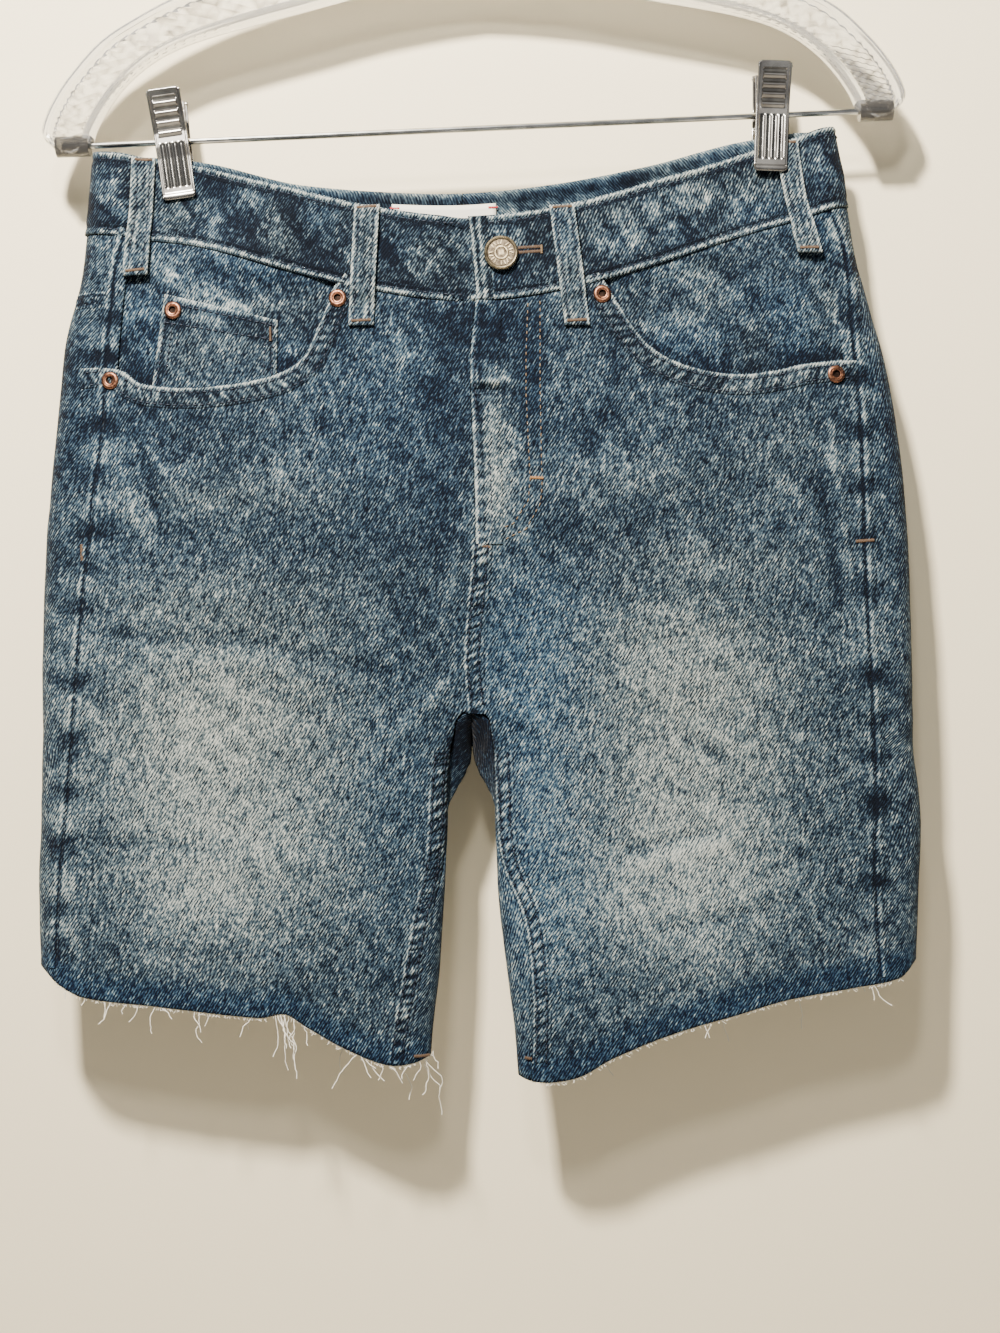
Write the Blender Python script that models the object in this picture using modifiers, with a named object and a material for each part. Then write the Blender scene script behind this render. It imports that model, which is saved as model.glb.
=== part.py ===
"""Cut-off denim shorts hanging from a clear clip hanger.

The origin is the inner top of the hanger's hook. +X is the right-hand side as seen from the front,
+Y goes away from the viewer and +Z is up. Tables and sizes below are millimetres.

The garment is one hollow form: a front surface and a back surface, each a height above the middle
plane, that meet in a soft fold at each side. Every cloth piece is a grid laid on that form.
"""

import math

import bmesh
import bpy
from mathutils import Matrix, Vector

MM = 0.001
LEFT, RIGHT = -1, 1
FRONT, BACK = -1, 1
SIDE_NAMES = {LEFT: "left", RIGHT: "right"}

# ---------------------------------------------------------------- driving sizes of the garment
PANEL = 1.3  # one layer of denim
BAND = 2.4  # the waistband's folded double layer
BAND_PROUD = 0.8  # how far the waistband stands out from the panels
BAND_HEIGHT = 41.5
SEAM_GAP = 0.4
LAY_GAP = 0.3  # between a layer and what lies on it
EDGE_ROUNDING = 10.0  # how far in from a fold the cloth is still turning
UNDERLAP = 34.0  # the left end of the waistband runs this far under the right end
OVERLAP_END = (1.1, 4.3)  # place of the right end of the waistband, at its top and its bottom
TUCK = (-14.0, -1.0)  # the left end steps inward between these places
TUCK_CLEAR = 0.1
SIDE_GUESS, INNER_GUESS = 190.0, 10.0  # where the search for a fold or a seam begins
SETTLING = 6  # passes of that search

# Side folds, as seen from the front: height, left edge, right edge
OUTLINE = (
    (-190, -184.5, 183.5),
    (-215, -187.0, 188.0),
    (-240, -190.0, 191.5),
    (-265, -193.5, 196.0),
    (-290, -200.5, 202.5),
    (-325, -205.0, 210.5),
    (-370, -210.5, 216.0),
    (-420, -214.5, 218.0),
    (-500, -216.5, 218.5),
    (-540, -218.5, 221.5),
    (-570, -219.5, 220.0),
    (-625, -219.0, 217.0),
)

# Side seams, which lie forward of the folds: height, left seam, right seam
SIDE_SEAMS = (
    (-235, -167.5, 181.0),
    (-255, -173.5, 187.5),
    (-300, -179.0, 190.5),
    (-335, -181.5, 193.0),
    (-375, -187.5, 194.0),
    (-425, -193.5, 194.5),
    (-515, -202.5, 197.5),
    (-565, -208.0, 196.5),
    (-620, -211.0, 198.5),
)

# Half the depth of the hollow form: height, half-depth
DEPTHS = (
    (-200, 15.0),
    (-240, 18.0),
    (-300, 20.0),
    (-380, 20.0),
    (-450, 17.0),
    (-500, 14.0),
    (-560, 13.0),
    (-665, 12.5),
)

# Centre front line, down the fly and the crotch seam: height, place
CENTRE = (
    (-235, 2.5),
    (-280, 3.8),
    (-306, 1.0),
    (-397, 1.8),
    (-452, -3.5),
    (-478, -2.0),
)

# Inner folds of the legs: height, left leg, right leg
INNER_FOLDS = (
    (-478, -2.0, -2.0),
    (-482, -8.0, 5.5),
    (-490, -10.3, 7.6),
    (-506, -13.0, 8.8),
    (-540, -15.0, 8.8),
    (-576, -17.5, 10.0),
    (-613, -20.7, 13.8),
    (-640, -24.0, 16.5),
    (-668, -26.5, 18.5),
)

# How far the inseams lie forward of the inner folds: height, left leg, right leg
INSEAM_INSETS = (
    (-478, 0.0, 0.0),
    (-520, 0.8, 0.5),
    (-553, 1.5, 2.5),
    (-582, 6.0, 11.5),
    (-610, 9.0, 11.8),
    (-640, 11.3, 9.0),
    (-665, 12.5, 6.0),
)

# Top edge of the waistband: place, front height, back height
BAND_TOP = (
    (-190, -197.5, -197.5),
    (-164, -201.0, -199.5),
    (-132, -206.0, -203.0),
    (-90, -219.5, -211.0),
    (-45, -231.5, -215.5),
    (0, -237.5, -217.0),
    (48, -232.5, -213.0),
    (95, -220.0, -205.5),
    (143, -203.5, -197.0),
    (190, -190.5, -190.5),
)

# Edge of each hand pocket: distance from the centre, left height, right height
POCKET_EDGES = (
    (60, -264.0, -262.0),
    (66, -272.0, -267.0),
    (69, -280.0, -272.5),
    (74, -291.0, -281.0),
    (80, -303.5, -291.0),
    (89, -310.5, -302.0),
    (101, -314.5, -309.5),
    (117, -317.0, -314.5),
    (135, -318.0, -316.5),
    (152, -317.0, -314.5),
    (163, -314.5, -312.0),
    (170, -309.0, -311.0),
    (180, -306.5, -310.0),
    (192, -306.5, -309.5),
)

# Cut hem of the left leg: place, height
HEM_LEFT = (
    (-222, -600.0),
    (-216, -604.5),
    (-208, -612.0),
    (-196, -618.0),
    (-160, -622.5),
    (-109, -629.0),
    (-96, -627.5),
    (-86, -634.0),
    (-69, -644.5),
    (-47, -654.0),
    (-33, -653.5),
    (-20, -648.5),
)

# Cut hem of the right leg: place, height
HEM_RIGHT = (
    (16, -661.0),
    (26, -664.0),
    (38, -664.0),
    (50, -661.0),
    (64, -653.0),
    (94, -641.0),
    (128, -631.5),
    (150, -625.5),
    (185, -620.0),
    (208, -616.0),
    (216, -609.0),
    (222, -604.0),
)

FORK = {FRONT: -478.0, BACK: -502.0}  # where the legs part, in front and behind
FORK_SIDE = -490.0  # the level at the side seam that goes with the fork
FORK_REACH = 28.8  # length of the seat seam that runs forward under the fork
FORK_ROUNDING = 30.0
LEGS_START, LEGS_FULL = -380.0, -480.0  # the body turns into two legs between these heights
BODY_CROWN, LEG_CROWN = 0.6, 0.42  # how much shallower the form is at its sides than at its middle

POCKET_LEVEL = {LEFT: -306.5, RIGHT: -309.5}  # where a hand pocket ends in the side seam
POCKET_LEVEL_BACK = -352.0
YOKE_SIDE = {LEFT: -273.0, RIGHT: -266.0}
YOKE_CENTRE = -318.0
YOKE_TURN = 150.0  # past this place the yoke's top edge also clears the front of the band

# ---------------------------------------------------------------- grids
FRONT_COLUMNS = 16
STRIP_TURNS = (1.0, 0.5, 0.134, 0.0)  # shares of the strip forward of a side fold
FOLD_TURNS = (0.134, 0.5, 1.0)  # shares of the rounding behind it
INNER_TURNS = (0.5, 0.15, 0.0)  # shares of the rounding at a front panel's inner edge
BACK_COLUMNS = 9
FORK_COLUMNS = 6
YOKE_ROWS, UPPER_ROWS, BODY_ROWS, LEG_ROWS = 2, 2, 8, 8
BAND_FRONT_COLUMNS, BAND_BACK_COLUMNS = 24, 18
FINE_STEPS = 240  # steps of a row before it is divided into its columns
ACROSS_STEPS, TURN_STEPS = 60, 8  # steps across the back of a leg, and round its inner fold

# ---------------------------------------------------------------- pieces laid on the form
FACING = 1.1
FACING_IN = PANEL + LAY_GAP + FACING + LAY_GAP  # a coin pocket fits between facing and panel
FACING_INNER, FACING_OUTER, FACING_BOTTOM = 57.0, 178.0, -330.0
COIN_IN = PANEL + LAY_GAP
COIN_CORNERS = ((-149.5, -271.0), (-93.5, -286.0), (-157.5, -324.0), (-95.0, -324.0))

FLY_WIDTH, FLY_BOTTOM, FLY_THICK = 33.0, -397.0, 1.2
FLY_ROUND = 24.0
FLY_STEEPEST = 0.96  # keeps the round lower corner short of upright
FLY_EDGE = 0.6  # from the centre line to the fly's straight edge

BACK_POCKET_MIDDLE, BACK_POCKET_TOP = 101.0, -322.0
BACK_POCKET_WIDTH, BACK_POCKET_NARROW = 126.0, 114.0
BACK_POCKET_TALL, BACK_POCKET_POINT = 122.0, 18.0

LABEL_LEFT, LABEL_RIGHT = -38.0, 15.0
LABEL_TOP, LABEL_TALL, LABEL_THICK = 6.0, 26.0, 1.0

LOOP_WIDTH, LOOP_THICK, LOOP_LIFT = 12.2, 1.5, 0.9
LOOP_STEP = (2.0, -8.0)  # a loop steps down off the waistband between these, about the band's seam
LOOP_TOP = 0.5  # a loop's top below the waistband's edge
# Belt loops: name, face, top place, bottom place, length below the top edge
LOOPS = (
    ("loop_side_left", FRONT, -160.0, -163.5, 60.0),
    ("loop_front_left", FRONT, -48.0, -52.0, 59.5),
    ("loop_front_right", FRONT, 47.0, 53.5, 60.0),
    ("loop_side_right", FRONT, 159.5, 169.5, 60.0),
    ("loop_back", BACK, 0.0, 0.0, 60.0),
)

BUTTON_PLACE = (17.0, -256.5)
# Half of the tack button's section: radius, height above the cloth
BUTTON_PROFILE = (
    (0, 3.0),
    (3.2, 3.0),
    (3.8, 2.5),
    (6.6, 2.5),
    (7.4, 3.1),
    (8.3, 2.4),
    (8.3, 0.8),
    (6.5, 0),
    (0, 0),
)
# Half of a rivet's section: radius, height above the cloth
RIVET_PROFILE = (
    (0, 1.5),
    (1.7, 1.5),
    (2.1, 0.8),
    (2.6, 0.8),
    (3.2, 1.3),
    (4.3, 0.9),
    (4.3, 0.0),
    (0, 0),
)
ROUND_SIDES = 28
# Rivets: name, place, height, depth of their seat below the form
RIVETS = (
    ("rivet_pocket_left_inner", -63.3, -276.5, 0.0),
    ("rivet_pocket_left_outer", -176.8, -313.5, 0.0),
    ("rivet_coin", -145.3, -279.5, COIN_IN),
    ("rivet_pocket_right_inner", 66.1, -276.8, 0.0),
    ("rivet_pocket_right_outer", 181.0, -317.0, 0.0),
)

# ---------------------------------------------------------------- driving sizes of the hanger
HANGER_TIP = math.radians(1.5)  # the hanger tips about the hook's top, right end up
ROD_DROP, ROD_RADIUS, ROD_HALF = 189.0, 1.5, 205.0
HANGER_THICK = 9.0
LUG_INNER, LUG_OUTER, LUG_RADIUS, LUG_BORE = 192.5, 209.0, 5.0, 1.8
HOOK_WIRE, HOOK_INNER = 1.8, 17.0
HOOK_FOOT, HOOK_BEND = -83.7, -52.0
HOOK_FROM, HOOK_TO = math.radians(-35), math.radians(208)
HOOK_PULL = 11.0  # reach of the handles of the bend between the stem and the round
STEM_STEPS, ROUND_STEPS = 8, 24

# Upper edge of the clear arch, from the neck to the end: distance from the middle, height
ARCH_UPPER = (
    (0, -84),
    (22, -85.5),
    (60, -92),
    (120, -107),
    (159, -122),
    (185, -137.5),
    (201, -154),
    (212, -170),
    (216, -182),
)
# Lower edge of the arch, from the end back to the middle
ARCH_LOWER = (
    (213, -190),
    (204, -194),
    (194, -192),
    (188, -181),
    (182, -170.5),
    (171, -158),
    (157, -147.5),
    (136, -139),
    (88, -128),
    (45, -119),
    (0, -114),
)
BORE_PAST = 1.0  # a bore runs this far past what it is cut through or for
LUG_SEAT = 8.0  # how far inward of a lug its seat in the arch runs

CLIP_WIDTH, JAW_THICK = 16.5, 1.2
GRIP_HALF = 2.6  # half-depth of the form between the jaws
JAW_TIP, JAW_HEAD = -30.0, 23.5  # below and above the rod
JAW_BEND = -9.0  # a jaw bends outward above this level to clear the spring
PIVOT_CLEAR, PIVOT_FLAT = 4.6, 3.5
HANDLE_SPREAD, JAW_CLEAR = 10.5, 0.5
SPRING_OUTER, SPRING_BORE, SPRING_LONG = 3.9, 1.8, 11.0
# Clips: name, place on the rod, lean, how far the front jaw is pushed out by what it grips
CLIPS = (
    ("clip_left", -145.8, math.radians(7.0), 0.0),
    ("clip_right", 153.0, math.radians(-3.2), LOOP_THICK + 1.1),
)
GRIP_REACH = 12.0  # half-width of the pinched cloth
GRIP_FADE_IN, GRIP_FADE_OUT = 50.0, 14.0
GRIP_BOTTOM, GRIP_FADE_DOWN = -226.0, 36.0


# ---------------------------------------------------------------- reading the tables
def mix(a, b, share):
    return a + (b - a) * share


def ramp(start, end, value):
    """0 at start, 1 at end, easing in and out between them."""
    share = min(max((value - start) / (end - start), 0.0), 1.0)
    return share * share * (3 - 2 * share)


def read(table, at, column=1):
    """The table's column at a value of its first column, on a smooth curve through its rows."""
    rows = table if table[0][0] < table[-1][0] else table[::-1]
    if at <= rows[0][0]:
        return rows[0][column]
    if at >= rows[-1][0]:
        return rows[-1][column]
    index = max(i for i, row in enumerate(rows) if row[0] <= at)
    low, high = rows[index], rows[index + 1]
    before = rows[max(index - 1, 0)]
    after = rows[min(index + 2, len(rows) - 1)]
    span = high[0] - low[0]
    share = (at - low[0]) / span
    slope_low = (high[column] - before[column]) / (high[0] - before[0]) * span
    slope_high = (after[column] - low[column]) / (after[0] - low[0]) * span
    square, cube = share * share, share**3
    return (
        low[column] * (2 * cube - 3 * square + 1)
        + slope_low * (cube - 2 * square + share)
        + high[column] * (3 * square - 2 * cube)
        + slope_high * (cube - square)
    )


def column_of(side):
    return 1 if side == LEFT else 2


# ---------------------------------------------------------------- the hollow form
def outer_fold(side, z):
    return read(OUTLINE, z, column_of(side))


def side_seam(side, z):
    return read(SIDE_SEAMS, z, column_of(side))


def centre(z):
    return read(CENTRE, z)


def inner_fold(side, z, face):
    """Inner fold of a leg. Behind, it leaves the centre only below the back's fork."""
    fold = read(INNER_FOLDS, z, column_of(side))
    if face == FRONT:
        return fold
    return mix(centre(FORK[FRONT]), fold, ramp(FORK[BACK], FORK[BACK] - FORK_ROUNDING, z))


def inseam(side, z):
    return inner_fold(side, z, FRONT) + side * read(INSEAM_INSETS, z, column_of(side))


def turned(distance):
    """Share of its full depth that the form has this far in from a fold."""
    left = 1 - min(max(distance / EDGE_ROUNDING, 0.0), 1.0)
    return math.sqrt(1 - left * left)


def grip(x, z):
    """1 where a clip pinches the cloth, 0 away from it."""
    strongest = 0.0
    for _, place, _, _ in CLIPS:
        away = (abs(x) - abs(place)) if x * place > 0 else -abs(place)
        fade = GRIP_FADE_OUT if away > 0 else GRIP_FADE_IN
        across = 1 - ramp(GRIP_REACH, GRIP_REACH + fade, abs(away))
        strongest = max(strongest, across)
    return strongest * (1 - ramp(GRIP_BOTTOM, GRIP_BOTTOM - GRIP_FADE_DOWN, z))


def half_depth(side, x, z, face, from_fold=None):
    """Distance from the middle plane to the cloth's outer surface."""
    fold = outer_fold(side, z)
    if from_fold is None:
        from_fold = (fold - x) * side
    forked = z < FORK[face]
    inner = inner_fold(side, z, face) if forked else centre(z)
    body = 1 - BODY_CROWN * (x / fold) ** 2
    middle, reach = (fold + inner) / 2, abs(fold - inner) / 2
    leg = 1 - LEG_CROWN * min(((x - middle) / reach) ** 2, 1.0)
    depth = read(DEPTHS, z) * mix(body, leg, ramp(LEGS_START, LEGS_FULL, z))
    depth = mix(depth, GRIP_HALF, grip(x, z)) * turned(from_fold)
    if forked:
        closing = ramp(FORK[face], FORK[face] - FORK_ROUNDING, z)
        depth *= mix(1.0, turned((x - inner) * side), closing)
    return depth


def on_form(side, x, z, face, from_fold=None):
    return Vector((x, face * half_depth(side, x, z, face, from_fold), z))


def off_form(x, z, face, out):
    """A point of the form moved out by a distance along the surface's normal."""
    side = RIGHT if x > centre(z) else LEFT
    step = 1.0
    slope_x = half_depth(side, x + step, z, face) - half_depth(side, x - step, z, face)
    slope_z = half_depth(side, x, z + step, face) - half_depth(side, x, z - step, face)
    normal = Vector((-slope_x / (2 * step), face, -slope_z / (2 * step))).normalized()
    return on_form(side, x, z, face) + normal * out


# ---------------------------------------------------------------- lines across the form
def band_top(x, face):
    return read(BAND_TOP, x, 1 if face == FRONT else 2)


def band_seam(x, face):
    return band_top(x, face) - BAND_HEIGHT


def toward_centre(side, x):
    """0 at the side seam and outside it, 1 at the centre."""
    start = side_seam(side, POCKET_LEVEL[side])
    return min(max(1 - x / start, 0.0), 1.0)


def yoke_line(side, x):
    return mix(YOKE_SIDE[side], YOKE_CENTRE, toward_centre(side, x))


def pocket_line(side, x):
    return mix(POCKET_LEVEL[side], POCKET_LEVEL_BACK, toward_centre(side, x))


def fork_line(side, x, face):
    return mix(FORK_SIDE, FORK[face], toward_centre(side, x))


def hem_line(side, x):
    return read(HEM_LEFT if side == LEFT else HEM_RIGHT, x)


def front_top(side, x):
    """Top edge of a front panel: the waistband's seam, then the hand pocket's edge."""
    seam = band_seam(x, FRONT) - SEAM_GAP
    pocket = read(POCKET_EDGES, abs(x), column_of(side))
    return min(seam, pocket) if x * side > POCKET_EDGES[0][0] else seam


def settled(place_at, height_at, start):
    """The x that satisfies x = place_at(height_at(x))."""
    x = start
    for _ in range(SETTLING):
        x = place_at(height_at(x))
    return x


# ---------------------------------------------------------------- panel grids
def front_row(side, height_at):
    """Points of one row of a front panel, from the side seam to the centre or the inseam."""
    outer = settled(lambda z: side_seam(side, z), height_at, side * SIDE_GUESS)
    forked = height_at(0) < FORK[FRONT] - 0.01
    inner_at = (lambda z: inseam(side, z)) if forked else centre
    inner = settled(inner_at, height_at, side * INNER_GUESS)
    outer -= side * SEAM_GAP / 2
    inner += side * SEAM_GAP / 2
    near = inner + side * EDGE_ROUNDING
    places = [mix(outer, near, i / FRONT_COLUMNS) for i in range(FRONT_COLUMNS + 1)]
    places += [inner + side * EDGE_ROUNDING * share for share in INNER_TURNS]
    return [on_form(side, x, height_at(x), FRONT) for x in places]


def spaced(points, count):
    """The same line as count + 1 points at even distances."""
    lengths = [0.0]
    for a, b in zip(points, points[1:]):
        lengths.append(lengths[-1] + (b - a).length)
    result = []
    for i in range(count + 1):
        want = lengths[-1] * i / count
        passed = sum(1 for length in lengths if length <= want + 1e-9)
        index = min(passed - 1, len(points) - 2)
        share = (want - lengths[index]) / max(lengths[index + 1] - lengths[index], 1e-9)
        result.append(points[index].lerp(points[index + 1], share))
    return result


def from_fold_in(side, distance, height_at, face):
    """The point this far in from the side fold, on the row's own height."""
    x = settled(lambda z: outer_fold(side, z) - side * distance, height_at, side * SIDE_GUESS)
    return on_form(side, x, height_at(x), face, distance)


def side_turn(side, height_at):
    """The stretch from the side seam round the side fold to the back."""
    seam = settled(lambda z: side_seam(side, z), height_at, side * SIDE_GUESS)
    reach = (outer_fold(side, height_at(seam)) - seam) * side - SEAM_GAP / 2
    points = [from_fold_in(side, reach * share, height_at, FRONT) for share in STRIP_TURNS]
    points += [from_fold_in(side, EDGE_ROUNDING * share, height_at, BACK) for share in FOLD_TURNS]
    return points


def back_row(side, height_at):
    """A row above the fork: round the side and across the back to the centre seam."""
    points = side_turn(side, height_at)
    start, end = points[-1].x, centre(FORK[FRONT]) + side * SEAM_GAP / 2
    for i in range(1, BACK_COLUMNS + 1):
        x = mix(start, end, i / BACK_COLUMNS)
        points.append(on_form(side, x, height_at(x), BACK))
    return points


def leg_row(side, height_at, rise):
    """A row of a back panel below the fork, which also turns round the inner fold to the inseam.

    rise is how much higher the row is in front of the inner fold than behind it.
    """
    points = side_turn(side, height_at)
    fold_back = settled(lambda z: inner_fold(side, z, BACK), height_at, side * INNER_GUESS)
    fold_back += side * SEAM_GAP / 2
    start = points[-1].x
    across = []
    for i in range(ACROSS_STEPS + 1):
        x = mix(start, fold_back, math.sin(math.pi / 2 * i / ACROSS_STEPS))
        across.append(on_form(side, x, height_at(x), BACK))

    def in_front(x):
        return height_at(x) + rise

    fold_front = settled(lambda z: inner_fold(side, z, FRONT), in_front, side * INNER_GUESS)
    seam = settled(lambda z: inseam(side, z), in_front, side * INNER_GUESS) + side * SEAM_GAP / 2
    if (seam - fold_front) * side < SEAM_GAP:
        seam = fold_front + side * SEAM_GAP / 2
        across.append(on_form(side, seam, in_front(seam), FRONT))
    else:
        for i in range(TURN_STEPS + 1):
            share = 1 - math.cos(math.pi / 2 * i / TURN_STEPS)
            x = mix(fold_front, seam - side * SEAM_GAP, share)
            across.append(on_form(side, x, in_front(x), FRONT))
    inset = read(INSEAM_INSETS, in_front(0), column_of(side))
    # where the seam lies on the fold itself, the back panel butts the front panel's wall
    butted = (PANEL + SEAM_GAP) * (1 - ramp(1.0, 6.0, inset))
    total = sum((b - a).length for a, b in zip(across, across[1:]))
    even = spaced(across, FINE_STEPS)
    last = round(FINE_STEPS * (1 - butted / total))
    cut = round(FINE_STEPS * (1 - FORK_REACH / total))
    points += spaced(even[: cut + 1], BACK_COLUMNS)[1:]
    return points + spaced(even[cut : last + 1], FORK_COLUMNS)[1:]


def between(upper, lower, share):
    return lambda x: mix(upper(x), lower(x), share)


def stretch(upper, lower, count):
    """Rows from one line to the next, the last left out."""
    return [between(upper, lower, i / count) for i in range(count)]


# ---------------------------------------------------------------- objects and materials
def material(name, color, roughness, metallic=0.0, transmission=0.0):
    made = bpy.data.materials.get(name)
    if made:
        return made
    made = bpy.data.materials.new(name)
    made.use_nodes = True
    shader = made.node_tree.nodes["Principled BSDF"]
    shader.inputs["Base Color"].default_value = (*color, 1)
    shader.inputs["Roughness"].default_value = roughness
    shader.inputs["Metallic"].default_value = metallic
    shader.inputs["Transmission Weight"].default_value = transmission
    return made


def denim():
    return material("denim", (0.10, 0.16, 0.24), 0.9)


def steel():
    return material("bright_steel", (0.72, 0.73, 0.74), 0.22, 1.0)


def clear_plastic():
    return material("clear_plastic", (0.93, 0.95, 0.96), 0.06, 0.0, 0.9)


def brass():
    return material("worn_brass", (0.62, 0.54, 0.40), 0.35, 1.0)


def copper():
    return material("worn_copper", (0.55, 0.30, 0.22), 0.4, 1.0)


def tape():
    return material("white_tape", (0.85, 0.84, 0.80), 0.8)


def keep(name, mesh_data, finish, smooth=True):
    """Puts a mesh or curve into the part's collection under its name."""
    made = bpy.data.objects.new(name, mesh_data)
    made.data.materials.append(finish)
    if smooth and made.type == "MESH":
        made.data.shade_smooth()
        made.data.set_sharp_from_angle(angle=math.radians(40))
    parts.objects.link(made)
    return made


def sheet(name, rows, thickness, outward, finish, flipped, notch=None):
    """Cloth laid through rows of points, outward of them by so much of its thickness.

    notch = (column, row) leaves out the grid's faces past that column and above that row.
    """
    columns, count = len(rows[-1]) - 1, len(rows) - 1
    grid = bmesh.new()
    bmesh.ops.create_grid(grid, x_segments=columns, y_segments=count, size=0.5)
    if notch:
        gone = [f for f in grid.faces if in_notch(f.calc_center_median(), columns, count, notch)]
        bmesh.ops.delete(grid, geom=gone, context="FACES")
    for vert in grid.verts:
        column = round((vert.co.x + 0.5) * columns)
        row = round((0.5 - vert.co.y) * count)
        vert.co = rows[row][column] * MM
    if flipped:
        bmesh.ops.reverse_faces(grid, faces=grid.faces)
    mesh = bpy.data.meshes.new(name)
    grid.to_mesh(mesh)
    grid.free()
    made = keep(name, mesh, finish)
    wall = made.modifiers.new("wall", "SOLIDIFY")
    wall.thickness = thickness * MM
    wall.offset = -1 + 2 * outward / thickness
    return made


def in_notch(middle, columns, count, notch):
    column = (middle.x + 0.5) * columns
    row = (0.5 - middle.y) * count
    return column > notch[0] and row < notch[1]


def turned_piece(name, profile, at, direction, finish):
    """A profile of (radius, height) turned about an axis that stands on a point."""
    mesh = bpy.data.meshes.new(name)
    outline = bmesh.new()
    verts = [outline.verts.new((radius * MM, 0, height * MM)) for radius, height in profile]
    for a, b in zip(verts, verts[1:]):
        outline.edges.new((a, b))
    outline.to_mesh(mesh)
    outline.free()
    made = keep(name, mesh, finish, smooth=False)
    made.location = at * MM
    made.rotation_euler = direction.to_track_quat("Z", "Y").to_euler()
    spun = made.modifiers.new("turned", "SCREW")
    spun.steps = spun.render_steps = ROUND_SIDES
    spun.use_merge_vertices = True
    spun.merge_threshold = 0.000001
    return made


# ---------------------------------------------------------------- garment pieces
def make_front(side):
    def top(x):
        return front_top(side, x)

    def fork(x):
        return fork_line(side, x, FRONT)

    def hem(x):
        return hem_line(side, x)

    lines = stretch(top, fork, BODY_ROWS) + stretch(fork, hem, LEG_ROWS) + [hem]
    rows = [front_row(side, line) for line in lines]
    sheet(f"front_{SIDE_NAMES[side]}", rows, PANEL, 0.0, denim(), side == RIGHT)


def make_back(side):
    def top(x):
        return yoke_line(side, x) - SEAM_GAP

    def pocket(x):
        return pocket_line(side, x)

    def fork(x):
        return fork_line(side, x, BACK)

    def hem(x):
        return hem_line(side, x)

    body = stretch(top, pocket, UPPER_ROWS) + stretch(pocket, fork, BODY_ROWS)
    rows = [back_row(side, line) for line in body]
    notch = (len(rows[0]) - 1, len(rows))
    for i in range(LEG_ROWS + 1):
        share = i / LEG_ROWS
        rise = (FORK[FRONT] - FORK[BACK]) * (1 - share)
        rows.append(leg_row(side, between(fork, hem, share), rise))
    sheet(f"back_{SIDE_NAMES[side]}", rows, PANEL, 0.0, denim(), side == LEFT, notch)


def make_yoke(side):
    def upper(x):
        if abs(x) > YOKE_TURN:
            return min(band_seam(x, BACK), band_seam(x, FRONT)) - SEAM_GAP
        return band_seam(x, BACK) - SEAM_GAP

    def lower(x):
        return yoke_line(side, x)

    lines = stretch(upper, lower, YOKE_ROWS) + [lower]
    rows = [back_row(side, line) for line in lines]
    sheet(f"yoke_{SIDE_NAMES[side]}", rows, PANEL, 0.0, denim(), side == LEFT)


def band_row(side, share):
    """One row of half the waistband: from its front end, round the side fold, to the centre back."""
    down = BAND_HEIGHT * share
    end = mix(*OVERLAP_END, share) if side == RIGHT else UNDERLAP
    points = []

    def height(x):
        return band_top(x, FRONT) - down

    fold = settled(lambda z: outer_fold(side, z), height, side * SIDE_GUESS)
    near = fold - side * EDGE_ROUNDING
    for i in range(BAND_FRONT_COLUMNS + 1):
        x = mix(end, near, i / BAND_FRONT_COLUMNS)
        tucked = (BAND + LAY_GAP + TUCK_CLEAR) * ramp(*TUCK, x) if side == LEFT else 0.0
        points.append(off_form(x, height(x), FRONT, -tucked))
    for share_in in STRIP_TURNS[1:]:
        x = fold - side * EDGE_ROUNDING * share_in
        points.append(on_form(side, x, height(x), FRONT, EDGE_ROUNDING * share_in))
    for share_in in FOLD_TURNS:
        x = fold - side * EDGE_ROUNDING * share_in
        points.append(on_form(side, x, band_top(x, BACK) - down, BACK, EDGE_ROUNDING * share_in))
    last = centre(FORK[FRONT]) + side * SEAM_GAP / 2
    for i in range(1, BAND_BACK_COLUMNS + 1):
        x = mix(near, last, i / BAND_BACK_COLUMNS)
        points.append(on_form(side, x, band_top(x, BACK) - down, BACK))
    return points


def make_waistband(side):
    rows = [band_row(side, share) for share in (0.0, 0.5, 1.0)]
    sheet(f"waistband_{SIDE_NAMES[side]}", rows, BAND, BAND_PROUD, denim(), side == LEFT)


def laid(name, columns, rows, place, thickness, face, out, finish, flipped):
    """A patch laid on the form.

    place(u, v) gives x and z. out(x, z) is how far its outer face lies off the form.
    """
    points = []
    for row in range(rows + 1):
        spots = (place(column / columns, row / rows) for column in range(columns + 1))
        points.append([off_form(x, z, face, out(x, z)) for x, z in spots])
    return sheet(name, points, thickness, 0.0, finish, flipped)


def make_facing(side):
    def place(u, v):
        x = side * mix(FACING_INNER, FACING_OUTER, u)
        return x, mix(band_seam(x, FRONT) - SEAM_GAP, FACING_BOTTOM, v)

    def out(x, z):
        return -FACING_IN

    name = f"facing_{SIDE_NAMES[side]}"
    laid(name, 10, 5, place, FACING, FRONT, out, denim(), side == LEFT)


def make_coin_pocket():
    top_left, top_right, low_left, low_right = (Vector(corner) for corner in COIN_CORNERS)

    def place(u, v):
        return top_left.lerp(top_right, u).lerp(low_left.lerp(low_right, u), v)

    def out(x, z):
        return -COIN_IN

    laid("coin_pocket", 6, 4, place, FACING, FRONT, out, denim(), False)


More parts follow.
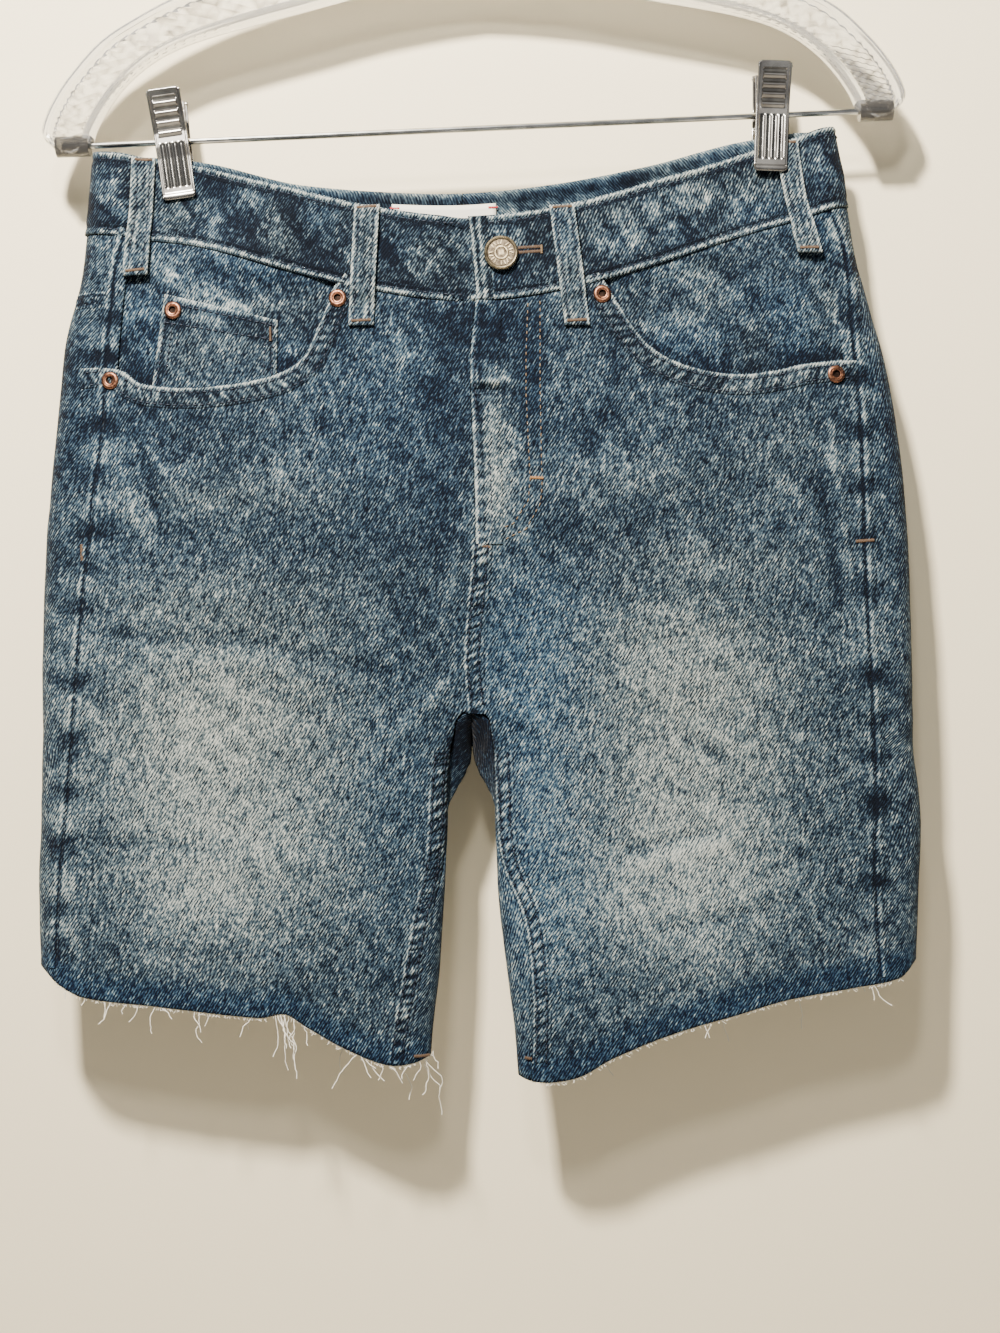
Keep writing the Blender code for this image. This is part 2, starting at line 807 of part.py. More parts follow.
def make_fly():
    """The stitched fly layer behind the right front's edge, round at its lower corner."""

    def place(u, v):
        top = band_seam(u * FLY_WIDTH, FRONT) - SEAM_GAP
        corner = max(u * FLY_WIDTH - (FLY_WIDTH - FLY_ROUND), 0.0)
        bottom = FLY_BOTTOM + FLY_ROUND - math.sqrt(FLY_ROUND**2 - FLY_STEEPEST * corner**2)
        z = mix(top, bottom, v)
        return centre(z) + FLY_EDGE + u * FLY_WIDTH, z

    def out(x, z):
        return -PANEL - LAY_GAP

    laid("fly", 5, 7, place, FLY_THICK, FRONT, out, denim(), False)


def make_back_pocket(side):
    def place(u, v):
        width = mix(BACK_POCKET_WIDTH, BACK_POCKET_NARROW, v)
        x = side * BACK_POCKET_MIDDLE + (u - 0.5) * width
        point = BACK_POCKET_POINT * (1 - abs(2 * u - 1))
        return x, BACK_POCKET_TOP - (BACK_POCKET_TALL + point) * v

    def out(x, z):
        return PANEL + LAY_GAP

    laid(f"back_pocket_{SIDE_NAMES[side]}", 8, 7, place, PANEL, BACK, out, denim(), True)


def make_label():
    def place(u, v):
        x = mix(LABEL_LEFT, LABEL_RIGHT, u)
        return x, band_top(x, BACK) - LABEL_TOP - LABEL_TALL * v

    def out(x, z):
        return -(BAND - BAND_PROUD + LAY_GAP)

    laid("size_label", 4, 2, place, LABEL_THICK, BACK, out, tape(), True)


def make_loop(name, face, top, bottom, length):
    def place(u, v):
        middle = mix(top, bottom, v)
        return middle + (u - 0.5) * LOOP_WIDTH, band_top(middle, face) - LOOP_TOP - length * v

    def out(x, z):
        seam = band_seam(x, face)
        past_band = ramp(seam + LOOP_STEP[0], seam + LOOP_STEP[1], z)
        down = (band_top(x, face) - z) / length
        arch = LOOP_LIFT * math.sin(math.pi * min(max(down, 0.0), 1.0))
        return mix(BAND_PROUD + 2 * LAY_GAP + arch, 2 * LAY_GAP, past_band) + LOOP_THICK

    laid(name, 2, 9, place, LOOP_THICK, face, out, denim(), face == BACK)


def outward_normal(x, z):
    return (off_form(x, z, FRONT, 1.0) - off_form(x, z, FRONT, 0.0)).normalized()


def make_metal_trim():
    x, z = BUTTON_PLACE
    seat = off_form(x, z, FRONT, BAND_PROUD + LAY_GAP)
    turned_piece("button", BUTTON_PROFILE, seat, outward_normal(x, z), brass())
    for name, x, z, below in RIVETS:
        seat = off_form(x, z, FRONT, LAY_GAP - below)
        turned_piece(name, RIVET_PROFILE, seat, outward_normal(x, z), copper())


# ---------------------------------------------------------------- hanger pieces
def tipped():
    """The hanger's own frame: turned about the hook's inner top."""
    return Matrix.Rotation(-HANGER_TIP, 4, "Y")


def wire(name, points, radius, finish, sides=3):
    data = bpy.data.curves.new(name, "CURVE")
    data.dimensions = "3D"
    data.bevel_depth = radius * MM
    data.bevel_resolution = sides
    data.use_fill_caps = True
    spline = data.splines.new("POLY")
    spline.points.add(len(points) - 1)
    for spot, point in zip(spline.points, points):
        spot.co = (*(point * MM), 1)
    made = keep(name, data, finish)
    made.matrix_world = tipped()
    return made


def make_hook():
    """A stem that bends aside and comes round over the top, the shape of a question mark."""
    radius = HOOK_INNER + HOOK_WIRE
    middle = Vector((0, 0, -HOOK_INNER))
    start = Vector((0, 0, HOOK_BEND))
    end = middle + Vector((math.cos(HOOK_FROM), 0, math.sin(HOOK_FROM))) * radius
    heading = Vector((-math.sin(HOOK_FROM), 0, math.cos(HOOK_FROM)))
    pulls = (start, start + Vector((0, 0, HOOK_PULL)), end - heading * HOOK_PULL, end)
    points = [Vector((0, 0, HOOK_FOOT))]
    for i in range(STEM_STEPS):
        t = i / STEM_STEPS
        weights = [math.comb(3, k) * t**k * (1 - t) ** (3 - k) for k in range(4)]
        points.append(sum((pull * weight for pull, weight in zip(pulls, weights)), Vector()))
    for i in range(ROUND_STEPS + 1):
        angle = mix(HOOK_FROM, HOOK_TO, i / ROUND_STEPS)
        points.append(middle + Vector((math.cos(angle), 0, math.sin(angle))) * radius)
    wire("hook", points, HOOK_WIRE, steel())


def make_arch():
    """The clear moulded arch: a flat outline with half of its points mirrored."""
    half = ARCH_UPPER + ARCH_LOWER
    outline = list(half) + [(-x, z) for x, z in reversed(half[1:-1])]
    data = bpy.data.curves.new("hanger_arch", "CURVE")
    data.dimensions = "2D"
    data.fill_mode = "BOTH"
    data.extrude = HANGER_THICK / 2 * MM
    data.resolution_u = 3
    spline = data.splines.new("BEZIER")
    spline.use_cyclic_u = True
    spline.bezier_points.add(len(outline) - 1)
    for spot, (x, z) in zip(spline.bezier_points, outline):
        spot.co = (x * MM, z * MM, 0)
        spot.handle_left_type = spot.handle_right_type = "AUTO"
    made = keep("arch_outline", data, clear_plastic())
    made.matrix_world = tipped() @ Matrix.Rotation(math.pi / 2, 4, "X")
    arch = frozen(made, "hanger_arch")
    for side in (LEFT, RIGHT):
        inner = side * (LUG_INNER - LUG_SEAT)
        outer = side * (LUG_OUTER + LAY_GAP)
        seat = cylinder(f"lug_seat_{SIDE_NAMES[side]}", LUG_RADIUS + LAY_GAP, inner, outer)
        cut(arch, seat)


def frozen(made, name):
    """The object as a plain mesh in world space, its loose caps welded."""
    bpy.context.view_layer.update()
    graph = bpy.context.evaluated_depsgraph_get()
    mesh = bpy.data.meshes.new_from_object(made.evaluated_get(graph))
    mesh.transform(made.matrix_world)
    welded = bmesh.new()
    welded.from_mesh(mesh)
    bmesh.ops.remove_doubles(welded, verts=welded.verts, dist=1e-6)
    bmesh.ops.recalc_face_normals(welded, faces=welded.faces)
    welded.to_mesh(mesh)
    welded.free()
    finish = made.data.materials[0]
    bpy.data.objects.remove(made)
    mesh.materials.clear()
    return keep(name, mesh, finish)


def cylinder(name, radius, start, end, sides=24, collection=None):
    """A round bar along the rod between two places on it, kept as a cutter unless told otherwise."""
    bar = bmesh.new()
    bmesh.ops.create_cone(
        bar,
        cap_ends=True,
        segments=sides,
        radius1=radius * MM,
        radius2=radius * MM,
        depth=abs(end - start) * MM,
    )
    place = Matrix.Translation(Vector(((start + end) / 2, 0, -ROD_DROP)) * MM)
    bar.transform(tipped() @ place @ Matrix.Rotation(math.pi / 2, 4, "Y"))
    bmesh.ops.recalc_face_normals(bar, faces=bar.faces)
    mesh = bpy.data.meshes.new(name)
    bar.to_mesh(mesh)
    bar.free()
    made = bpy.data.objects.new(name, mesh)
    (collection or cutters).objects.link(made)
    if collection is None:
        made.hide_render = True
        made.display_type = "WIRE"
    return made


def cut(target, cutter):
    modifier = target.modifiers.new(cutter.name, "BOOLEAN")
    modifier.operation = "DIFFERENCE"
    modifier.object = cutter


def make_rod_and_lugs():
    ends = (Vector((-ROD_HALF, 0, -ROD_DROP)), Vector((ROD_HALF, 0, -ROD_DROP)))
    wire("rod", ends, ROD_RADIUS, steel(), sides=4)
    for side in (LEFT, RIGHT):
        name = f"lug_{SIDE_NAMES[side]}"
        lug = cylinder(name, LUG_RADIUS, side * LUG_INNER, side * LUG_OUTER, collection=parts)
        lug.data.materials.append(clear_plastic())
        inner = side * (LUG_INNER - BORE_PAST)
        bore = cylinder(f"bore_{SIDE_NAMES[side]}", LUG_BORE, inner, side * (ROD_HALF + BORE_PAST))
        cut(lug, bore)


def jaw_profile(face, push):
    """Middle line of a jaw seen from the side: (depth, height), tip to head."""
    tip = GRIP_HALF + BAND_PROUD + JAW_CLEAR + push
    pivot = max(PIVOT_CLEAR, tip)
    line = (
        (tip, JAW_TIP),
        (tip, JAW_BEND),
        (pivot, -PIVOT_FLAT),
        (pivot, PIVOT_FLAT),
        (HANDLE_SPREAD, JAW_HEAD),
    )
    return [Vector((0, face * depth, height)) for depth, height in line]


def make_jaw(name, place, lean, face, push):
    """A bent plate: its middle line swept sideways, then given its thickness outwards."""
    line = jaw_profile(face, push)
    plate = bmesh.new()
    bmesh.ops.create_grid(plate, x_segments=2, y_segments=len(line) - 1, size=0.5)
    for vert in plate.verts:
        row = round((vert.co.y + 0.5) * (len(line) - 1))
        vert.co = (line[row] + Vector((vert.co.x * CLIP_WIDTH, 0, 0))) * MM
    if face == BACK:
        bmesh.ops.reverse_faces(plate, faces=plate.faces)
    rod_point = tipped() @ Vector((0, 0, -ROD_DROP * MM))
    along = Vector((math.cos(HANGER_TIP), 0, math.sin(HANGER_TIP)))
    pivot = rod_point + along * ((place * MM - rod_point.x) / along.x)
    plate.transform(Matrix.Translation(pivot) @ Matrix.Rotation(-lean, 4, "Y"))
    mesh = bpy.data.meshes.new(name)
    plate.to_mesh(mesh)
    plate.free()
    made = keep(name, mesh, steel(), smooth=False)
    wall = made.modifiers.new("plate", "SOLIDIFY")
    wall.thickness = JAW_THICK * MM
    wall.offset = 1
    wall.use_even_offset = True


def make_clips():
    for name, place, lean, push in CLIPS:
        make_jaw(f"{name}_front_jaw", place, lean, FRONT, push)
        make_jaw(f"{name}_rear_jaw", place, lean, BACK, 0.0)
        on_rod = (place - ROD_DROP * math.sin(HANGER_TIP)) / math.cos(HANGER_TIP)
        half = SPRING_LONG / 2
        start, end = on_rod - half, on_rod + half
        spring = cylinder(f"{name}_spring", SPRING_OUTER, start, end, collection=parts)
        spring.data.materials.append(steel())
        bore = cylinder(f"{name}_spring_bore", SPRING_BORE, start - BORE_PAST, end + BORE_PAST)
        cut(spring, bore)


# ---------------------------------------------------------------- assembly
for old in list(bpy.data.objects):
    bpy.data.objects.remove(old)
parts = bpy.data.collections.new("denim_shorts_on_a_clip_hanger")
cutters = bpy.data.collections.new("cutters")
for collection in (parts, cutters):
    bpy.context.scene.collection.children.link(collection)

for garment_side in (LEFT, RIGHT):
    make_front(garment_side)
    make_back(garment_side)
    make_yoke(garment_side)
    make_waistband(garment_side)
    make_facing(garment_side)
    make_back_pocket(garment_side)
make_coin_pocket()
make_fly()
make_label()
for loop in LOOPS:
    make_loop(*loop)
make_metal_trim()
make_hook()
make_arch()
make_rod_and_lugs()
make_clips()
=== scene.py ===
# %% [markdown]
# # Cut-off denim shorts on a clear clip hanger
#
# The solids that come with model.glb already have the true sizes, so every piece here is laid on
# the same hollow form: a front surface and a back surface that meet in a soft fold at each side.
# We could simulate cloth instead, but a garment that hangs from two clips is nearly still. Placing
# its folds one by one keeps each crease where a maker would look for it. Sizes are in millimetres
# until a mesh is written, and then in metres.

# %% Load the fixed frame
import math

import bmesh
import bpy
import numpy as np
from mathutils import Matrix, Vector


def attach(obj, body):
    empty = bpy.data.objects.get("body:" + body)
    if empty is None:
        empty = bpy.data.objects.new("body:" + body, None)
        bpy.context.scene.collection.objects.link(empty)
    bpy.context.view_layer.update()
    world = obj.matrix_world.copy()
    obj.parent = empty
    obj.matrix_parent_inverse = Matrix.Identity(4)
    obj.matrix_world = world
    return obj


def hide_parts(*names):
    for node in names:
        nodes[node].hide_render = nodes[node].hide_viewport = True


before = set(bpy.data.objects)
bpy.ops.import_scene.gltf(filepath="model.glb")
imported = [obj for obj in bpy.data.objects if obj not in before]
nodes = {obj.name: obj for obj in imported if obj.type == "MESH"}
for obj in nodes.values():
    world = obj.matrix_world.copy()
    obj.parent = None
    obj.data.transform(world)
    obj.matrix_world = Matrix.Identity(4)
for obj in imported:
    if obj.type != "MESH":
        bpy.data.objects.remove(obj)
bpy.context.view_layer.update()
MM = 0.001
LEFT, RIGHT = -1, 1
FRONT, BACK = -1, 1
SIDE_NAMES = {LEFT: "left", RIGHT: "right"}
print("fixed nodes:", len(nodes))

# %% [markdown]
# ## The camera
#
# The viewer stands close in front of the wall, a little below the waistband, so the camera comes
# first: it decides how fine each surface has to be. A portrait picture's height fixes the lens.

# %% Camera
CAMERA_PLACE = Vector((12.7, -850.0, -458.0))
FRAME_TALL = 666.5  # what the picture's height takes in at the garment
CAMERA_ROLL = math.radians(-1.07)

camera_data = bpy.data.cameras.new("viewer")
camera_data.lens = camera_data.sensor_width * -CAMERA_PLACE.y / FRAME_TALL
camera = bpy.data.objects.new("viewer", camera_data)
camera.matrix_world = (
    Matrix.Translation(CAMERA_PLACE * MM)
    @ Matrix.Rotation(math.pi / 2, 4, "X")
    @ Matrix.Rotation(CAMERA_ROLL, 4, "Z")
)
bpy.context.scene.collection.objects.link(camera)
bpy.context.scene.camera = camera
print("lens:", round(camera_data.lens, 2))

# %% [markdown]
# ## The room
#
# A warm off-white wall stands just behind the hanger, so the cloth throws soft shadows on it. The
# wall lets light and other rays through its back, and a viewer behind it sees the garment's back.
# Two soft lamps above give the doubled shadows, and a pale world fills the rest.

# %% Wall, floor and lights
WALL_TOP_AT, WALL_LEAN, WALL_HALF, FLOOR_AT = 22.0, math.radians(3.2), 1500.0, -1450.0
WALL_COLOR = (0.90, 0.80, 0.58)
WORLD_COLOR, WORLD_STRENGTH = (0.84, 0.92, 1.0), 0.14


def new_material(name):
    """A material with its node tree, its tree's links and its Principled shader."""
    made = bpy.data.materials.new(name)
    made.use_nodes = True
    tree = made.node_tree
    return made, tree, tree.nodes["Principled BSDF"]


def add_node(tree, kind, inputs=(), **settings):
    """A shader node with its settings and its unlinked inputs filled in."""
    node = tree.nodes.new(kind)
    for key, value in settings.items():
        setattr(node, key, value)
    for key, value in dict(inputs).items():
        node.inputs[key].default_value = value
    return node


def link(tree, start, end):
    tree.links.new(start, end)


def stage_plane(name, half_wide, half_tall, place, turn, material):
    """A flat piece of the room."""
    plane = bmesh.new()
    bmesh.ops.create_grid(plane, x_segments=1, y_segments=1, size=1)
    bmesh.ops.scale(plane, vec=(half_wide * MM, half_tall * MM, 1), verts=plane.verts)
    plane.transform(Matrix.Translation(Vector(place) * MM) @ Matrix.Rotation(turn, 4, "X"))
    mesh = bpy.data.meshes.new(name)
    plane.to_mesh(mesh)
    plane.free()
    made = bpy.data.objects.new(name, mesh)
    mesh.materials.append(material)
    bpy.context.scene.collection.objects.link(made)
    return made


wall_paint, tree, paint = new_material("wall_paint")
paint.inputs["Base Color"].default_value = (*WALL_COLOR, 1)
paint.inputs["Roughness"].default_value = 0.85
plaster = add_node(tree, "ShaderNodeTexNoise", {"Scale": 60.0, "Detail": 3.0})
plaster_bump = add_node(tree, "ShaderNodeBump", {"Strength": 0.12, "Distance": 0.001})
link(tree, add_node(tree, "ShaderNodeTexCoord").outputs["Object"], plaster.inputs["Vector"])
link(tree, plaster.outputs["Fac"], plaster_bump.inputs["Height"])
link(tree, plaster_bump.outputs["Normal"], paint.inputs["Normal"])
see_through = add_node(tree, "ShaderNodeBsdfTransparent")
facing_away = add_node(tree, "ShaderNodeNewGeometry").outputs["Backfacing"]
rays = add_node(tree, "ShaderNodeLightPath")
passing = add_node(tree, "ShaderNodeMath", operation="MAXIMUM")
link(tree, facing_away, passing.inputs[0])
link(tree, rays.outputs["Is Shadow Ray"], passing.inputs[1])
choose = add_node(tree, "ShaderNodeMixShader")
link(tree, passing.outputs[0], choose.inputs["Fac"])
link(tree, paint.outputs["BSDF"], choose.inputs[1])
link(tree, see_through.outputs["BSDF"], choose.inputs[2])
link(tree, choose.outputs["Shader"], tree.nodes["Material Output"].inputs["Surface"])
wall_middle = (0, WALL_TOP_AT + 450 * math.tan(WALL_LEAN), -450)
stage_plane("wall", WALL_HALF, WALL_HALF, wall_middle, math.pi / 2 + WALL_LEAN, wall_paint)

floor_paint, tree, paint = new_material("floor_paint")
paint.inputs["Base Color"].default_value = (0.74, 0.71, 0.66, 1)
paint.inputs["Roughness"].default_value = 0.7
stage_plane("floor", 4000, 4000, (0, 0, FLOOR_AT), 0.0, floor_paint)

world = bpy.data.worlds.new("room")
world.use_nodes = True
world.node_tree.nodes["Background"].inputs["Color"].default_value = (*WORLD_COLOR, 1)
world.node_tree.nodes["Background"].inputs["Strength"].default_value = WORLD_STRENGTH
bpy.context.scene.world = world

# Lamps: name, place, size, watts, colour. Each looks at the middle of the garment.
LAMPS = (
    ("lamp_left", (-260, -860, 392), 100, 56.0, (1.0, 0.93, 0.83)),
    ("lamp_right", (-60, -1000, 250), 110, 5.5, (1.0, 0.95, 0.87)),
    ("lamp_front", (300, -1600, 0), 1200, 1.5, (0.98, 0.97, 0.97)),
    ("lamp_behind", (0, 1500, 500), 1500, 16.0, (1.0, 0.98, 0.95)),
)
for name, place, size, watts, color in LAMPS:
    lamp_data = bpy.data.lights.new(name, "AREA")
    lamp_data.size = size * MM
    lamp_data.energy = watts
    lamp_data.color = color
    lamp = bpy.data.objects.new(name, lamp_data)
    lamp.location = Vector(place) * MM
    aim = Vector((0, 0, -430)) - Vector(place)
    lamp.rotation_euler = aim.to_track_quat("-Z", "Y").to_euler()
    bpy.context.scene.collection.objects.link(lamp)
print("lamps:", len(LAMPS))

# %% [markdown]
# ## The hollow form
#
# Each table gives one line of the garment by height: the side folds, the side seams, the inner
# folds of the legs, the depth of the hollow. A smooth curve runs through each table's rows. We read
# whole rows of points at once with numpy, because the cloth is about two millimetres fine.

# %% Tables of the form
PANEL, BAND, BAND_PROUD, BAND_HEIGHT = 1.3, 2.4, 0.8, 41.5
SEAM_GAP, LAY_GAP, EDGE_ROUNDING, UNDERLAP = 0.4, 0.3, 10.0, 34.0
OVERLAP_END, TUCK = (1.1, 4.3), (-14.0, -1.0)
OUTLINE = (
    (-190, -184.5, 183.5),
    (-215, -187.0, 188.0),
    (-240, -190.0, 191.5),
    (-265, -193.5, 196.0),
    (-290, -200.5, 202.5),
    (-325, -205.0, 210.5),
    (-370, -210.5, 216.0),
    (-420, -214.5, 218.0),
    (-500, -216.5, 218.5),
    (-540, -218.5, 221.5),
    (-570, -219.5, 220.0),
    (-625, -219.0, 217.0),
)
SIDE_SEAMS = (
    (-235, -167.5, 181.0),
    (-255, -173.5, 187.5),
    (-300, -179.0, 190.5),
    (-335, -181.5, 193.0),
    (-375, -187.5, 194.0),
    (-425, -193.5, 194.5),
    (-515, -202.5, 197.5),
    (-565, -208.0, 196.5),
    (-620, -211.0, 198.5),
)
DEPTHS = (
    (-200, 15.0),
    (-240, 18.0),
    (-300, 20.0),
    (-380, 20.0),
    (-450, 17.0),
    (-500, 14.0),
    (-560, 13.0),
    (-665, 12.5),
)
CENTRE = (
    (-235, 2.5),
    (-280, 3.8),
    (-306, 1.0),
    (-397, 1.8),
    (-452, -3.5),
    (-478, -2.0),
)
INNER_FOLDS = (
    (-478, -2.0, -2.0),
    (-482, -8.0, 5.5),
    (-490, -10.3, 7.6),
    (-506, -13.0, 8.8),
    (-540, -15.0, 8.8),
    (-576, -17.5, 10.0),
    (-613, -20.7, 13.8),
    (-640, -24.0, 16.5),
    (-668, -26.5, 18.5),
)
INSEAM_INSETS = (
    (-478, 0.0, 0.0),
    (-520, 0.8, 0.5),
    (-553, 1.5, 2.5),
    (-582, 6.0, 11.5),
    (-610, 9.0, 11.8),
    (-640, 11.3, 9.0),
    (-665, 12.5, 6.0),
)
BAND_TOP = (
    (-190, -197.5, -197.5),
    (-164, -201.0, -199.5),
    (-132, -206.0, -203.0),
    (-90, -219.5, -211.0),
    (-45, -231.5, -215.5),
    (0, -237.5, -217.0),
    (48, -232.5, -213.0),
    (95, -220.0, -205.5),
    (143, -203.5, -197.0),
    (190, -190.5, -190.5),
)
POCKET_EDGES = (
    (60, -264.0, -262.0),
    (66, -272.0, -267.0),
    (69, -280.0, -272.5),
    (74, -291.0, -281.0),
    (80, -303.5, -291.0),
    (89, -310.5, -302.0),
    (101, -314.5, -309.5),
    (117, -317.0, -314.5),
    (135, -318.0, -316.5),
    (152, -317.0, -314.5),
    (163, -314.5, -312.0),
    (170, -309.0, -311.0),
    (180, -306.5, -310.0),
    (192, -306.5, -309.5),
)
HEM_LEFT = (
    (-222, -600.0),
    (-216, -604.5),
    (-208, -612.0),
    (-196, -618.0),
    (-160, -622.5),
    (-109, -629.0),
    (-96, -627.5),
    (-86, -634.0),
    (-69, -644.5),
    (-47, -654.0),
    (-33, -653.5),
    (-20, -648.5),
)
HEM_RIGHT = (
    (16, -661.0),
    (26, -664.0),
    (38, -664.0),
    (50, -661.0),
    (64, -653.0),
    (94, -641.0),
    (128, -631.5),
    (150, -625.5),
    (185, -620.0),
    (208, -616.0),
    (216, -609.0),
    (222, -604.0),
)
FORK = {FRONT: -478.0, BACK: -502.0}
FORK_SIDE, FORK_REACH, FORK_ROUNDING = -490.0, 28.8, 30.0
LEGS_START, LEGS_FULL = -380.0, -480.0
BODY_CROWN, LEG_CROWN = 0.6, 0.42
POCKET_LEVEL, POCKET_LEVEL_BACK = {LEFT: -306.5, RIGHT: -309.5}, -352.0
YOKE_SIDE, YOKE_CENTRE, YOKE_TURN = {LEFT: -273.0, RIGHT: -266.0}, -318.0, 150.0
GRIPS = (-145.8, 153.0)
GRIP_HALF, GRIP_REACH, GRIP_FADE_IN, GRIP_FADE_OUT = 2.6, 12.0, 50.0, 14.0
GRIP_BOTTOM, GRIP_FADE_DOWN = -226.0, 36.0

# %% Reading a table, and the form's surface


def mix(a, b, share):
    return a + (b - a) * share


def ramp(start, end, value):
    """0 at start, 1 at end, easing in and out between them."""
    share = np.clip((np.asarray(value, float) - start) / (end - start), 0.0, 1.0)
    return share * share * (3 - 2 * share)


def read(table, at, column=1):
    """The table's column at values of its first column, on a smooth curve through its rows."""
    rows = np.array(sorted(table), float)
    place, value = rows[:, 0], rows[:, column]
    at = np.clip(np.asarray(at, float), place[0], place[-1])
    low = np.clip(np.searchsorted(place, at, side="right") - 1, 0, len(place) - 2)
    high = low + 1
    before, after = np.maximum(low - 1, 0), np.minimum(low + 2, len(place) - 1)
    span = place[high] - place[low]
    t = (at - place[low]) / span
    slope_low = (value[high] - value[before]) / (place[high] - place[before]) * span
    slope_high = (value[after] - value[low]) / (place[after] - place[low]) * span
    return (
        value[low] * (2 * t**3 - 3 * t**2 + 1)
        + slope_low * (t**3 - 2 * t**2 + t)
        + value[high] * (3 * t**2 - 2 * t**3)
        + slope_high * (t**3 - t**2)
    )


def column_of(side):
    return 1 if side == LEFT else 2


def outer_fold(side, z):
    return read(OUTLINE, z, column_of(side))


def side_seam(side, z):
    return read(SIDE_SEAMS, z, column_of(side))


def centre(z):
    return read(CENTRE, z)


def inner_fold(side, z, face):
    fold = read(INNER_FOLDS, z, column_of(side))
    if face == FRONT:
        return fold
    parting = ramp(FORK[BACK], FORK[BACK] - FORK_ROUNDING, z)
    return mix(centre(FORK[FRONT]), fold, parting)


def inseam(side, z):
    return inner_fold(side, z, FRONT) + side * read(INSEAM_INSETS, z, column_of(side))


def turned(distance):
    """Share of its full depth that the form has this far in from a fold."""
    left = 1 - np.clip(np.asarray(distance, float) / EDGE_ROUNDING, 0.0, 1.0)
    return np.sqrt(1 - left * left)


def grip(x, z):
    """1 where a clip pinches the cloth, 0 away from it."""
    strongest = 0.0
    for place in GRIPS:
        away = np.where(x * place > 0, np.abs(x) - abs(place), -abs(place))
        fade = np.where(away > 0, GRIP_FADE_OUT, GRIP_FADE_IN)
        share = np.clip((np.abs(away) - GRIP_REACH) / fade, 0, 1)
        strongest = np.maximum(strongest, 1 - share * share * (3 - 2 * share))
    return strongest * (1 - ramp(GRIP_BOTTOM, GRIP_BOTTOM - GRIP_FADE_DOWN, z))


def half_depth(side, x, z, face, from_fold=None):
    """Distance from the middle plane to the cloth's outer surface."""
    x, z = np.broadcast_arrays(np.asarray(x, float), np.asarray(z, float))
    fold = outer_fold(side, z)
    if from_fold is None:
        from_fold = (fold - x) * side
    forked = z < FORK[face]
    inner = np.where(forked, inner_fold(side, z, face), centre(z))
    body = 1 - BODY_CROWN * (x / fold) ** 2
    eased = mix(-2.0, inner_fold(side, np.minimum(z, -540.0), FRONT), ramp(-420.0, -560.0, z))
    middle, reach = (fold + eased) / 2, np.abs(fold - eased) / 2
    leg = 1 - LEG_CROWN * np.minimum(((x - middle) / reach) ** 2, 1.0)
    depth = read(DEPTHS, z) * mix(body, leg, ramp(LEGS_START, LEGS_FULL, z))
    depth = mix(depth, GRIP_HALF, grip(x, z)) * turned(from_fold)
    closing = ramp(FORK[face], FORK[face] - FORK_ROUNDING, z)
    return np.where(forked, depth * mix(1.0, turned((x - inner) * side), closing), depth)


def on_form(side, x, z, face, from_fold=None):
    """Points of the form, one row of (x, y, z) for each x and z."""
    x, z = np.broadcast_arrays(np.asarray(x, float), np.asarray(z, float))
    return np.stack([x, face * half_depth(side, x, z, face, from_fold), z], axis=-1)


def form_at(x, z, face):
    """Points of the form whichever side of the centre they are on."""
    left, right = on_form(LEFT, x, z, face), on_form(RIGHT, x, z, face)
    return np.where((np.asarray(x) > centre(z))[..., None], right, left)


def band_top(x, face):
    return read(BAND_TOP, x, 1 if face == FRONT else 2)


def band_seam(x, face):
    return band_top(x, face) - BAND_HEIGHT


def toward_centre(side, x):
    start = side_seam(side, POCKET_LEVEL[side])
    return np.clip(1 - np.asarray(x, float) / start, 0.0, 1.0)


def yoke_line(side, x):
    return mix(YOKE_SIDE[side], YOKE_CENTRE, toward_centre(side, x))


def pocket_line(side, x):
    return mix(POCKET_LEVEL[side], POCKET_LEVEL_BACK, toward_centre(side, x))


def fork_line(side, x, face):
    return mix(FORK_SIDE, FORK[face], toward_centre(side, x))


def hem_line(side, x):
    return read(HEM_LEFT if side == LEFT else HEM_RIGHT, x)


def front_top(side, x):
    seam = band_seam(x, FRONT) - SEAM_GAP
    pocket = read(POCKET_EDGES, np.abs(x), column_of(side))
    return np.where(np.asarray(x) * side > POCKET_EDGES[0][0], np.minimum(seam, pocket), seam)


def settled(place_at, height_at, start):
    """The x that satisfies x = place_at(height_at(x))."""
    x = start
    for _ in range(6):
        x = place_at(height_at(x))
    return x


print("depth at the hip:", round(float(half_depth(LEFT, -100, -400, FRONT)), 1))

# %% [markdown]
# ## Places on the cloth
#
# A maker thinks along seams: so far from the edge, so far down the leg. Each seam is a line of
# (x, z) places, and one helper tells for any place how far it lies from a line and how far along
# it. Another gives smooth random mottling from a seeded lattice, the same on every run.

# %% Lines, distances and mottling


def dense(line, step=1.5):
    """The same line as points at even distances."""
    line = np.asarray(line, float)
    lengths = np.concatenate([[0], np.cumsum(np.linalg.norm(np.diff(line, axis=0), axis=1))])
    want = np.linspace(0, lengths[-1], max(int(round(lengths[-1] / step)), 1) + 1)
    columns = [np.interp(want, lengths, line[:, k]) for k in range(line.shape[1])]
    return np.stack(columns, axis=1)


def heading(line):
    """Unit direction at each point of a line."""
    way = np.gradient(line, axis=0)
    return way / np.linalg.norm(way, axis=1, keepdims=True)


